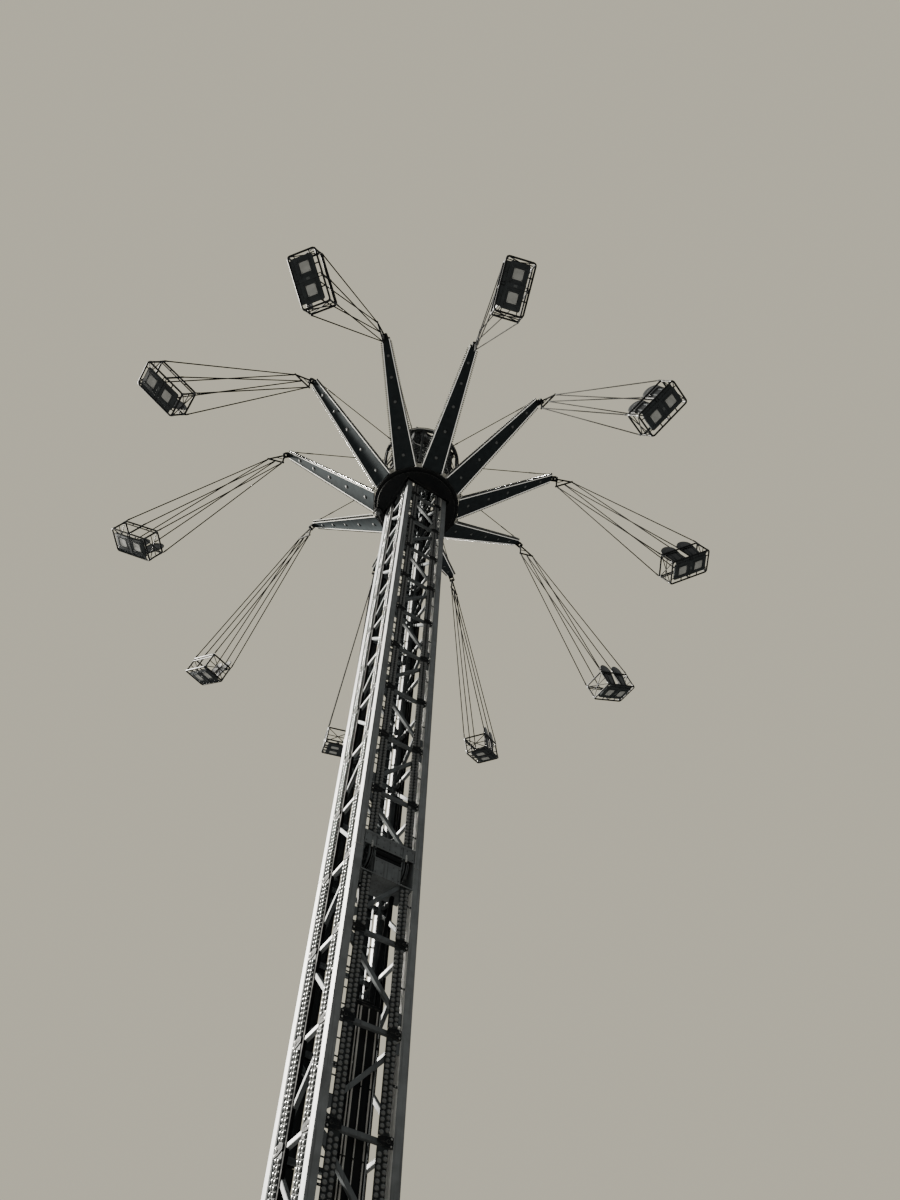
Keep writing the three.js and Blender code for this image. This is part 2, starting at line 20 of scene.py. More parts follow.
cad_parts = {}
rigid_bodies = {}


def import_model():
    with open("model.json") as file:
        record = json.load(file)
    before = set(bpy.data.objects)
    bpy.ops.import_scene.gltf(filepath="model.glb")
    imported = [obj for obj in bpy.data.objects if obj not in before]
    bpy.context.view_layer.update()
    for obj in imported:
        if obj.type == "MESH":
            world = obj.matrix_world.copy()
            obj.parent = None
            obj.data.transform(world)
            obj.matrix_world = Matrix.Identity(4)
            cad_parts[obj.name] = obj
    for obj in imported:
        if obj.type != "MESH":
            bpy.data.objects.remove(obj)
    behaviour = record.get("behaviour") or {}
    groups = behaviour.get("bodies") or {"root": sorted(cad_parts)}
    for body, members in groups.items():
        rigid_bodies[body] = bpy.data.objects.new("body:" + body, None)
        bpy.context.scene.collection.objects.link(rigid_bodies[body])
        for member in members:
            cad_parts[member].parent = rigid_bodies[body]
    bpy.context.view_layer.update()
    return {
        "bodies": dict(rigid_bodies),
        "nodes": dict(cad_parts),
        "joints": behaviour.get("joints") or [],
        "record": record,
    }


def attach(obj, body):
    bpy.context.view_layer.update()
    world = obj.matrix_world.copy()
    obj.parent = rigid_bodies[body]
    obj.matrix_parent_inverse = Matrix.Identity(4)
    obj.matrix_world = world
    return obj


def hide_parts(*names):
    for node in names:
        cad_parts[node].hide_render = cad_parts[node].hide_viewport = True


LOG = logging.getLogger("swing_ride")

Point = Sequence[float]
Colour = tuple[float, float, float]

# Widths of chamfers, from joints and sheet edges to castings
HAIR, THIN, FINE, PLAIN, FULL, SOFT, ROUND, BROAD = 0.001, 0.002, 0.003, 0.004, 0.005, 0.006, 0.008, 0.012

SHARP_ANGLE = math.radians(38)
MOST_CUT = 0.45  # a chamfer's largest share of a block's thickness
SHARPEST = 0.35  # keeps a sharp corner from moving too far when an outline shrinks

ORIGIN = Matrix.Identity(4)
STAND = Matrix.Rotation(math.pi / 2, 4, "X")  # an outline of X and height, raised towards the front
DOWN = Matrix.Rotation(math.pi, 4, "X")  # a part that faces up, turned to face down
TOUCH = 0.0003  # the gap that the frame leaves between solids that touch
SIDES = (-1, 1)


class Ends(Enum):
    """Which ends of a skin are closed."""

    NONE = (False, False)
    BOTH = (True, True)
    LAST = (False, True)


class Axis(Enum):
    """The row frame's directions, as unit vectors."""

    X = (1.0, 0.0, 0.0)
    Y = (0.0, 1.0, 0.0)
    Z = (0.0, 0.0, 1.0)

    @property
    def vector(self) -> Vector:
        """The direction as a vector."""
        return Vector(self.value)


# Meshes


def across(direction: Vector) -> tuple[Vector, Vector]:
    """Two unit vectors square to a direction, the first one level where it can be.

    Args:
        direction: The direction, of any length.

    Returns:
        The two vectors, so that with the direction they are right-handed.
    """
    along = direction.normalized()
    side = Axis.Z.vector.cross(along)
    if side.length < 1e-5:
        side = Axis.X.vector
    side.normalize()
    return side, along.cross(side).normalized()


def from_to(start: Point, end: Point) -> Matrix:
    """A matrix whose local Z runs from one point towards another.

    Args:
        start: Where the matrix puts its origin.
        end: The point that its Z axis looks at.

    Returns:
        The rigid matrix.
    """
    along = (Vector(end) - Vector(start)).normalized()
    side, up = across(along)
    turn = Matrix((side, up, along)).transposed().to_4x4()
    return Matrix.Translation(Vector(start)) @ turn


def turned(angle: float) -> Matrix:
    """A turn about the tower's axis, in radians."""
    return Matrix.Rotation(angle, 4, "Z")


def moved(points: np.ndarray, place: Matrix) -> np.ndarray:
    """Points, one row each, taken from a place's own frame."""
    m = np.array(place)
    return points @ m[:3, :3].T + m[:3, 3]


def lifted(outline: np.ndarray, height: float, place: Matrix) -> np.ndarray:
    """A flat outline as a loop of points at a height in a place's own frame."""
    return moved(np.column_stack([outline, np.full(len(outline), height)]), place)


def round_outline(sides: int) -> np.ndarray:
    """The corners of a regular outline of radius 1, one row each."""
    turns = 2 * math.pi * np.arange(sides) / sides
    return np.stack([np.cos(turns), np.sin(turns)], 1)


def upright(x: float, y: float, z: float) -> Matrix:
    """A place with no turn."""
    return Matrix.Translation((x, y, z))


def around(count: int, start: float = 0.0) -> list[Matrix]:
    """Even turns about the tower's axis, the first one at an angle in degrees."""
    return [turned(math.radians(start + 360 * step / count)) for step in range(count)]


def on_arc(radius: float, start: float, end: float, steps: int,
           centre: Sequence[float] = (0.0, 0.0)) -> list[tuple[float, float]]:
    """Points of an arc in a plane, from one angle to another, in degrees."""
    return [(centre[0] + radius * math.cos(angle), centre[1] + radius * math.sin(angle))
            for angle in np.radians(np.linspace(start, end, steps))]


def flipped(profile: Sequence[tuple[float, float]]) -> list[tuple[float, float]]:
    """A profile's mirror image at the other side of height 0, in the order that keeps its faces outward."""
    return [(radius, -height) for radius, height in reversed(profile)]


class Sketch:
    """Points and faces gathered for one piece, each face with its finish and its edge mark."""

    def __init__(self, coat: Coat) -> None:
        """Starts with nothing drawn.

        Args:
            coat: The finish of what is drawn without another one.
        """
        self.coat = coat
        self.points: list[np.ndarray] = []
        self.faces: list[tuple[np.ndarray, Coat, float, bool]] = []
        self.count = 0

    def stamp(self, other: "Sketch", places: Iterable[Matrix]) -> "Sketch":
        """Adds a copy of another sketch at each place.

        Args:
            other: What is copied.
            places: One matrix for each copy.

        Returns:
            This sketch.
        """
        base = np.vstack(other.points)
        for place in places:
            shift = self.count
            self.points.append(moved(base, place))
            self.faces += [(corners + shift, *marks) for corners, *marks in other.faces]
            self.count += len(base)
        return self

    def rings(self, loops: Sequence[np.ndarray], coat: Coat | None = None, ends: Ends = Ends.BOTH,
              edges: Sequence[float] = (), smooth: bool = True) -> None:
        """Joins loops of points, one after another, into a skin.

        Args:
            loops: Loops with the same number of points.
            coat: Its finish, or nothing for the sketch's own.
            ends: Which of the first and last loop are closed with a face.
            edges: The edge mark of each band between loops, or nothing for none.
            smooth: Whether the skin is shaded smooth.
        """
        size, start, coat = len(loops[0]), self.count, coat or self.coat
        self.points.append(np.vstack(loops).astype(float))
        self.count += size * len(loops)
        steps = np.arange(size)
        after = (steps + 1) % size
        for band in range(len(loops) - 1):
            low, high = start + band * size, start + (band + 1) * size
            quads = np.stack([low + steps, low + after, high + after, high + steps], 1)
            self.faces.append((quads, coat, edges[band] if edges else 0.0, smooth))
        if ends.value[0]:
            self.faces.append((np.arange(start, start + size)[::-1][None], coat, 0.0, False))
        if ends.value[1]:
            last = start + size * (len(loops) - 1)
            self.faces.append((np.arange(last, last + size)[None], coat, 0.0, False))

    def tube(self, path: Sequence[Point], radius: float | Sequence[float], sides: int = 12,
             coat: Coat | None = None, closed: bool = False) -> "Sketch":
        """Sweeps a circle along a path.

        Args:
            path: The points of the tube's middle line.
            radius: One radius, or one for each point.
            sides: How many sides the circle has.
            coat: Its finish, or nothing for the sketch's own.
            closed: Whether the path returns to its start.

        Returns:
            This sketch.
        """
        line = [Vector(p) for p in path]
        radii = [radius] * len(line) if isinstance(radius, (int, float)) else list(radius)
        side, _ = across(line[1] - line[0])
        outline = round_outline(sides)
        loops = []
        for index, place in enumerate(line):
            before = line[index - 1] if index or closed else place
            ahead = line[(index + 1) % len(line)] if index + 1 < len(line) or closed else place
            along = (ahead - before).normalized()
            side = (side - along * side.dot(along)).normalized()
            ring = outline @ np.array((side, along.cross(side)))
            loops.append(np.array(place) + radii[index] * ring)
        if closed:
            loops.append(loops[0])
        self.rings(loops, coat, Ends.NONE if closed else Ends.BOTH)
        return self

    def lathe(self, profile: Sequence[tuple[float, float]], place: Matrix, sides: int = 16,
              coat: Coat | None = None, edges: Sequence[float] = (), smooth: bool = True,
              ends: Ends = Ends.BOTH) -> "Sketch":
        """Turns a profile of radius and height about the local Z axis of a place.

        Args:
            profile: Radius and height pairs, from one end to the other.
            place: Where the turned piece stands.
            sides: How many sides it has.
            coat: Its finish, or nothing for the sketch's own.
            edges: The edge mark of each band of the profile.
            smooth: Whether it is shaded smooth.
            ends: Which ends are closed with a face.

        Returns:
            This sketch.
        """
        outline = round_outline(sides)
        self.rings([lifted(radius * outline, height, place) for radius, height in profile],
                   coat, ends, edges, smooth)
        return self

    def prism(self, outline: Sequence[tuple[float, float]], depth: float, place: Matrix,
              bevel: float = 0.0, coat: Coat | None = None, smooth: bool = False) -> "Sketch":
        """Raises an outline in the local XY plane of a place to a depth along its Z.

        Args:
            outline: The corners, counter-clockwise.
            depth: The thickness, centred on the place.
            place: Where the outline lies.
            bevel: The width of the chamfer round both faces.
            coat: Its finish, or nothing for the sketch's own.
            smooth: Whether its sides are shaded smooth.

        Returns:
            This sketch.
        """
        flat, half = np.array(outline, float), depth / 2
        stack, edges = [(flat, -half), (flat, half)], ()
        if bevel:
            inner, wall = inset(flat, bevel), half - bevel
            stack, edges = [(inner, -half), (flat, -wall), (flat, wall), (inner, half)], (1.0, 0.0, 1.0)
        self.rings([lifted(shape, height, place) for shape, height in stack], coat, edges=edges, smooth=smooth)
        return self

    def box(self, low: Point, high: Point, bevel: float = PLAIN, coat: Coat | None = None,
            place: Matrix = ORIGIN) -> "Sketch":
        """A block between two opposite corners, with chamfered edges.

        Args:
            low: One corner.
            high: The corner across from it.
            bevel: The width of the chamfers.
            coat: Its finish, or nothing for the sketch's own.
            place: Where the block's own frame lies in the row frame.

        Returns:
            This sketch.
        """
        a, b = Vector(map(min, low, high)), Vector(map(max, low, high))
        size, middle = b - a, (a + b) / 2
        cut = min(bevel, min(size) * MOST_CUT)
        frame = place @ Matrix.Translation(middle)
        x, y = size.x / 2, size.y / 2
        outline = [(x - cut, -y), (x, -y + cut), (x, y - cut), (x - cut, y),
                   (-x + cut, y), (-x, y - cut), (-x, -y + cut), (-x + cut, -y)]
        return self.prism(outline, size.z, frame, cut, coat)

    def beam(self, start: Point, end: Point, width: float, depth: float, bevel: float = PLAIN,
             coat: Coat | None = None) -> "Sketch":
        """A straight bar of rectangular section between two points.

        Args:
            start: The middle of one end.
            end: The middle of the other end.
            width: The section's size across, level where it can be.
            depth: The section's other size.
            bevel: The width of the chamfers.
            coat: Its finish, or nothing for the sketch's own.

        Returns:
            This sketch.
        """
        length = (Vector(end) - Vector(start)).length
        place = from_to(start, end)
        half = Vector((width / 2, depth / 2, 0))
        return self.box(-half, half + Vector((0, 0, length)), bevel, coat, place)

    def mesh(self, name: str) -> bpy.types.Mesh:
        """Makes the Blender mesh.

        Args:
            name: The mesh's name.

        Returns:
            The mesh, with its finishes, and its edge marks as a face attribute.
        """
        data = bpy.data.meshes.new(name)
        points = np.vstack(self.points)
        loops = np.concatenate([corners.ravel() for corners, *_ in self.faces]).astype(np.int32)
        rows = [len(corners) for corners, *_ in self.faces]
        widths = np.repeat([corners.shape[1] for corners, *_ in self.faces], rows)
        coats = list(dict.fromkeys(coat for _, coat, _, _ in self.faces))
        finishes = np.repeat([coats.index(coat) for _, coat, _, _ in self.faces], rows)
        edges, smooth = (np.repeat(values, rows) for values in list(zip(*self.faces))[2:])
        data.vertices.add(len(points))
        data.vertices.foreach_set("co", points.astype(np.float32).ravel())
        data.loops.add(len(loops))
        data.loops.foreach_set("vertex_index", loops)
        data.polygons.add(len(widths))
        for coat in coats:
            data.materials.append(coat.material())
        for setting, values in (("loop_start", np.cumsum(widths) - widths), ("loop_total", widths),
                                ("material_index", finishes)):
            data.polygons.foreach_set(setting, values.astype(np.int32))
        data.polygons.foreach_set("use_smooth", smooth)
        mark = data.attributes.new("edge_mark", "FLOAT", "FACE")
        mark.data.foreach_set("value", edges.astype(np.float32))
        data.validate()
        data.update(calc_edges=True)
        data.set_sharp_from_angle(angle=SHARP_ANGLE)
        return data


def inset(outline: np.ndarray, amount: float) -> np.ndarray:
    """Moves each corner of an outline inwards.

    Args:
        outline: The corners, counter-clockwise, one row each.
        amount: How far each side moves.

    Returns:
        The corners of the smaller outline.
    """
    side = outline - np.roll(outline, 1, 0)
    side = side / np.linalg.norm(side, axis=1)[:, None]
    left = np.stack([-side[:, 1], side[:, 0]], 1)
    middle = left + np.roll(left, -1, 0)
    middle = middle / np.maximum(np.linalg.norm(middle, axis=1), 1e-9)[:, None]
    share = np.maximum(np.sum(middle * left, 1), SHARPEST)
    return outline + middle * (amount / share)[:, None]


# Finishes

FLOAT = "NodeSocketFloat"
COLOUR = "NodeSocketColor"
COLOUR_MIX_INPUTS = (0, 6, 7)  # the Mix node's factor, A and B when it mixes colours
COLOUR_MIX_OUTPUT = 2
TONE_RANGE = (0.3, 0.7)  # what the skin's broad noise keeps to
CLEARCOAT_ROUGHNESS = 0.12


class Canvas:
    """One node tree, with short calls for the nodes that the finishes use."""

    def __init__(self, tree: bpy.types.NodeTree) -> None:
        """Clears the tree and starts on it.

        Args:
            tree: The material's or group's node tree.
        """
        self.tree = tree
        tree.nodes.clear()

    def node(self, kind: str, **settings: object) -> bpy.types.Node:
        """Adds a node and sets its plain settings.

        Args:
            kind: Blender's name of the node type.
            **settings: Attribute names and values.

        Returns:
            The node.
        """
        made = self.tree.nodes.new(kind)
        for key, value in settings.items():
            setattr(made, key, value)
        return made

    def feed(self, socket: bpy.types.NodeSocket, value: object) -> None:
        """Links a socket to another one, or sets it.

        Args:
            socket: The socket that is fed.
            value: Another node's output, or a plain value.
        """
        if isinstance(value, bpy.types.NodeSocket):
            self.tree.links.new(value, socket)
        else:
            socket.default_value = value

    def calc(self, operation: str, first: object, second: object = 0.0) -> bpy.types.NodeSocket:
        """Adds a Math node.

        Args:
            operation: Blender's name of the operation.
            first: Its first input, an output or a plain value, as everywhere below.
            second: Its second input.

        Returns:
            The node's output.
        """
        made = self.node("ShaderNodeMath", operation=operation)
        self.feed(made.inputs[0], first)
        self.feed(made.inputs[1], second)
        return made.outputs[0]

    def mix(self, share: object, first: object, second: object) -> bpy.types.NodeSocket:
        """Adds a colour mix.

        Args:
            share: How much of the second colour is mixed in.
            first: The first colour.
            second: The second colour.

        Returns:
            The mixed colour.
        """
        made = self.node("ShaderNodeMix", data_type="RGBA")
        for index, value in zip(COLOUR_MIX_INPUTS, (share, first, second)):
            self.feed(made.inputs[index], value)
        return made.outputs[COLOUR_MIX_OUTPUT]

    def spread(self, value: object, low: float, high: float, to_low: float = 0.0,
               to_high: float = 1.0) -> bpy.types.NodeSocket:
        """Maps a range of a value smoothly to another range.

        Args:
            value: The value.
            low: Where its range starts.
            high: Where its range ends.
            to_low: What low becomes.
            to_high: What high becomes.

        Returns:
            The mapped value.
        """
        made = self.node("ShaderNodeMapRange", interpolation_type="SMOOTHSTEP")
        for name, number in (("From Min", low), ("From Max", high), ("To Min", to_low), ("To Max", to_high)):
            made.inputs[name].default_value = number
        self.feed(made.inputs["Value"], value)
        return made.outputs["Result"]

    def lit(self, colour: Colour, value: object) -> bpy.types.NodeSocket:
        """Makes a colour lighter or darker.

        Args:
            colour: The colour.
            value: What its brightness is multiplied by.

        Returns:
            The changed colour.
        """
        made = self.node("ShaderNodeHueSaturation")
        self.feed(made.inputs["Color"], rgba(colour))
        self.feed(made.inputs["Value"], value)
        return made.outputs["Color"]

    def place(self) -> bpy.types.NodeSocket:
        """The point's place on its own piece."""
        return self.node("ShaderNodeTexCoord").outputs["Object"]

    def stretched(self, scale: Point) -> bpy.types.NodeSocket:
        """Stretches the point's place on its own piece.

        Args:
            scale: The factor along each direction.

        Returns:
            The stretched place.
        """
        made = self.node("ShaderNodeMapping")
        self.feed(made.inputs["Vector"], self.place())
        made.inputs["Scale"].default_value = scale
        return made.outputs["Vector"]

    def noise(self, where: object, scale: object, detail: float = 4.0,
              roughness: float = 0.55) -> bpy.types.NodeSocket:
        """Adds noise.

        Args:
            where: The place that it is read at.
            scale: How fine it is.
            detail: How many finer layers it has.
            roughness: How strong these are.

        Returns:
            The noise's value, from 0 to 1.
        """
        made = self.node("ShaderNodeTexNoise")
        self.feed(made.inputs["Vector"], where)
        self.feed(made.inputs["Scale"], scale)
        made.inputs["Detail"].default_value = detail
        made.inputs["Roughness"].default_value = roughness
        return made.outputs["Fac"]


class Effect(Enum):
    """Shader groups that several finishes share."""

    GRIME = "Grime and rain streaks"
    WEAR = "Edge wear"
    SKIN = "Surface skin"

    def tree(self) -> bpy.types.NodeTree:
        """The group's node tree, built once."""
        return bpy.data.node_groups.get(self.value) or EFFECT_BUILDERS[self]()

    def sockets(self, inputs: Sequence[tuple[str, str, object]],
                outputs: Sequence[tuple[str, str]]) -> tuple[Canvas, bpy.types.Node, bpy.types.Node]:
        """Makes the empty group with its sockets.

        Args:
            inputs: Name, socket type and starting value of each input.
            outputs: Name and socket type of each output.

        Returns:
            The canvas, the input node and the output node.
        """
        tree = bpy.data.node_groups.new(self.value, "ShaderNodeTree")
        for name, kind, value in inputs:
            made = tree.interface.new_socket(name, in_out="INPUT", socket_type=kind)
            made.default_value = value
        for name, kind in outputs:
            tree.interface.new_socket(name, in_out="OUTPUT", socket_type=kind)
        canvas = Canvas(tree)
        return canvas, canvas.node("NodeGroupInput"), canvas.node("NodeGroupOutput")


def build_grime() -> bpy.types.NodeTree:
    """Dirt in soft patches, and streaks that rain draws down the piece.

    Returns:
        The group's node tree.
    """
    c, given, out = Effect.GRIME.sockets(
        [("Colour", COLOUR, (0.5, 0.5, 0.5, 1)), ("Grime", COLOUR, (0.05, 0.045, 0.04, 1)),
         ("Patches", FLOAT, 0.3), ("Streaks", FLOAT, 0.3), ("Scale", FLOAT, 2.0)],
        [("Colour", COLOUR), ("Mask", FLOAT)])
    patches = c.spread(c.noise(c.place(), given.outputs["Scale"], 6.0, 0.62), 0.48, 0.74)
    drawn = c.noise(c.stretched((16.0, 16.0, 0.55)), given.outputs["Scale"], 3.0, 0.5)
    streaks = c.spread(drawn, 0.5, 0.72)
    mask = c.calc("MAXIMUM", c.calc("MULTIPLY", patches, given.outputs["Patches"]),
                  c.calc("MULTIPLY", streaks, given.outputs["Streaks"]))
    c.feed(out.inputs["Colour"], c.mix(mask, given.outputs["Colour"], given.outputs["Grime"]))
    c.feed(out.inputs["Mask"], mask)
    return c.tree


def build_wear() -> bpy.types.NodeTree:
    """Bare metal on chamfered edges and in a few chips.

    Returns:
        The group's node tree.
    """
    c, given, out = Effect.WEAR.sockets(
        [("Colour", COLOUR, (0.5, 0.5, 0.5, 1)), ("Bare", COLOUR, (0.4, 0.4, 0.4, 1)),
         ("Edges", FLOAT, 0.6), ("Chips", FLOAT, 0.2), ("Scale", FLOAT, 9.0)],
        [("Colour", COLOUR), ("Mask", FLOAT)])
    mark = c.node("ShaderNodeAttribute", attribute_name="edge_mark").outputs["Fac"]
    speckle = c.noise(c.place(), given.outputs["Scale"], 8.0, 0.7)
    rubbed = c.calc("MULTIPLY", mark, c.spread(speckle, 0.36, 0.6))
    chipped = c.calc("MULTIPLY", c.spread(speckle, 0.69, 0.74), given.outputs["Chips"])
    mask = c.calc("MAXIMUM", c.calc("MULTIPLY", rubbed, given.outputs["Edges"]), chipped)
    c.feed(out.inputs["Colour"], c.mix(mask, given.outputs["Colour"], given.outputs["Bare"]))
    c.feed(out.inputs["Mask"], mask)
    return c.tree


def build_skin() -> bpy.types.NodeTree:
    """The fine and the broad unevenness of a sprayed, cast or moulded surface.

    Returns:
        The group's node tree.
    """
    c, given, out = Effect.SKIN.sockets(
        [("Fine Scale", FLOAT, 180.0), ("Broad Scale", FLOAT, 5.0), ("Broad Share", FLOAT, 0.4)],
        [("Height", FLOAT), ("Tone", FLOAT)])
    fine = c.noise(c.place(), given.outputs["Fine Scale"], 2.0)
    broad = c.noise(c.place(), given.outputs["Broad Scale"], 3.0)
    height = c.node("ShaderNodeMix", data_type="FLOAT")
    c.feed(height.inputs["Factor"], given.outputs["Broad Share"])
    c.feed(height.inputs["A"], fine)
    c.feed(height.inputs["B"], broad)
    c.feed(out.inputs["Height"], height.outputs["Result"])
    c.feed(out.inputs["Tone"], broad)
    return c.tree


EFFECT_BUILDERS: dict[Effect, Callable[[], bpy.types.NodeTree]] = {
    Effect.GRIME: build_grime,
    Effect.WEAR: build_wear,
    Effect.SKIN: build_skin,
}


def rgba(colour: Colour) -> tuple[float, float, float, float]:
    """A colour with full alpha."""
    return (*colour, 1.0)


@dataclass(frozen=True)
class Finish:
    """What every surface has: a colour, a gloss and a skin."""

    name: str
    colour: Colour
    roughness: float
    metallic: float = 0.0
    coat: float = 0.0
    fine_scale: float = 160.0
    bump: float = 0.08
    bump_distance: float = 0.001
    # How strongly the colour glows; only the arms' underside strips use it, as painted light
    glow: float = 0.0
    shine: float = 0.5

    def group(self, c: Canvas, effect: Effect, **inputs: object) -> bpy.types.Node:
        """Places a shared effect in the material.

        Args:
            c: The material's canvas.
            effect: Which effect.
            **inputs: Values or sockets for its inputs, with underscores for spaces.

        Returns:
            The group node.
        """
        made = c.node("ShaderNodeGroup")
        made.node_tree = effect.tree()
        for key, value in inputs.items():
            c.feed(made.inputs[key.replace("_", " ")], value)
        return made

    def colour_and_gloss(self, c: Canvas, skin: bpy.types.Node) -> tuple[object, object, object]:
        """The finish's own nodes.

        Args:
            c: The material's canvas.
            skin: The skin effect's node.

        Returns:
            What feeds Base Color, Roughness and Metallic.
        """
        tone = c.spread(skin.outputs["Tone"], *TONE_RANGE, 0.86, 1.08)
        gloss = c.spread(skin.outputs["Tone"], *TONE_RANGE, self.roughness * 0.85, self.roughness * 1.15)
        return c.lit(self.colour, tone), gloss, self.metallic

    def material(self) -> bpy.types.Material:
        """Builds the Blender material, once.

        Returns:
            The material.
        """
        known = bpy.data.materials.get(self.name)
        if known:
            return known
        made = bpy.data.materials.new(self.name)
        made.use_nodes = True
        c = Canvas(made.node_tree)
        surface = c.node("ShaderNodeBsdfPrincipled")
        skin = self.group(c, Effect.SKIN, Fine_Scale=self.fine_scale)
        colour, gloss, metallic = self.colour_and_gloss(c, skin)
        for socket, value in (("Base Color", colour), ("Roughness", gloss), ("Metallic", metallic)):
            c.feed(surface.inputs[socket], value)
        for socket, value in (("Coat Weight", self.coat), ("Coat Roughness", CLEARCOAT_ROUGHNESS),
                              ("Specular IOR Level", self.shine), ("Emission Color", rgba(self.colour)),
                              ("Emission Strength", self.glow)):
            surface.inputs[socket].default_value = value
        relief = c.node("ShaderNodeBump")
        relief.inputs["Strength"].default_value = self.bump
        relief.inputs["Distance"].default_value = self.bump_distance
        c.feed(relief.inputs["Height"], skin.outputs["Height"])
        c.feed(surface.inputs["Normal"], relief.outputs["Normal"])
        end = c.node("ShaderNodeOutputMaterial")
        c.feed(end.inputs["Surface"], surface.outputs["BSDF"])
        return made


@dataclass(frozen=True)
class Paint(Finish):
    """Sprayed paint on steel, with grime, rain streaks and rubbed edges."""

    grime: Colour = (0.03, 0.028, 0.025)
    patches: float = 0.35
    streaks: float = 0.35
    bare: Colour = (0.42, 0.41, 0.39)
    edges: float = 0.55
    chips: float = 0.12
    wear_scale: float = 9.0
    grime_scale: float = 1.6

    def colour_and_gloss(self, c: Canvas, skin: bpy.types.Node) -> tuple[object, object, object]:
        """Lays grime and wear over the paint.

        Args:
            c: The material's canvas.
            skin: The skin effect's node.

        Returns:
            What feeds Base Color, Roughness and Metallic.
        """
        plain, _, _ = super().colour_and_gloss(c, skin)
        dirty = self.group(c, Effect.GRIME, Colour=plain, Grime=rgba(self.grime),
                           Patches=self.patches, Streaks=self.streaks, Scale=self.grime_scale)
        worn = self.group(c, Effect.WEAR, Colour=dirty.outputs["Colour"], Bare=rgba(self.bare),
                          Edges=self.edges, Chips=self.chips, Scale=self.wear_scale)
        duller = c.spread(dirty.outputs["Mask"], 0.0, 1.0, self.roughness, min(self.roughness + 0.35, 0.95))
        shiny = c.spread(worn.outputs["Mask"], 0.0, 1.0, self.metallic, 0.85)
        return worn.outputs["Colour"], duller, shiny


@dataclass(frozen=True)
class Galvanised(Finish):
    """Zinc on steel: pale spangle, dull in patches, darker where it has weathered."""

    spangle: float = 22.0
    weathered: Colour = (0.16, 0.16, 0.155)

    def colour_and_gloss(self, c: Canvas, skin: bpy.types.Node) -> tuple[object, object, object]:
        """Draws the spangle and the weathering.

        Args:
            c: The material's canvas.
            skin: The skin effect's node.

        Returns:
            What feeds Base Color, Roughness and Metallic.
        """
        cells = c.node("ShaderNodeTexVoronoi", feature="F1")
        c.feed(cells.inputs["Vector"], c.place())
        cells.inputs["Scale"].default_value = self.spangle
        bright = c.spread(cells.outputs["Distance"], 0.0, 0.8, 1.1, 0.82)
        aged = c.spread(c.noise(c.place(), 3.0, 6.0, 0.65), 0.45, 0.7)
        colour = c.mix(aged, c.lit(self.colour, bright), rgba(self.weathered))
        gloss = c.spread(aged, 0.0, 1.0, self.roughness, min(self.roughness + 0.25, 0.9))
        return colour, gloss, c.spread(aged, 0.0, 1.0, self.metallic, self.metallic * 0.6)


@dataclass(frozen=True)
class Moulding(Finish):
    """Moulded plastic with a fine grain, scuffed a little lighter where it is rubbed."""

    scuff: Colour = (0.2, 0.2, 0.2)
    scuffs: float = 0.5

    def colour_and_gloss(self, c: Canvas, skin: bpy.types.Node) -> tuple[object, object, object]:
        """Lays the scuffs over the plastic.

        Args:
            c: The material's canvas.
            skin: The skin effect's node.

        Returns:
            What feeds Base Color, Roughness and Metallic.
        """
        plain, gloss, metallic = super().colour_and_gloss(c, skin)
        worn = self.group(c, Effect.WEAR, Colour=plain, Bare=rgba(self.scuff), Edges=self.scuffs,
                          Chips=self.scuffs * 0.3, Scale=14.0)
        return worn.outputs["Colour"], gloss, metallic


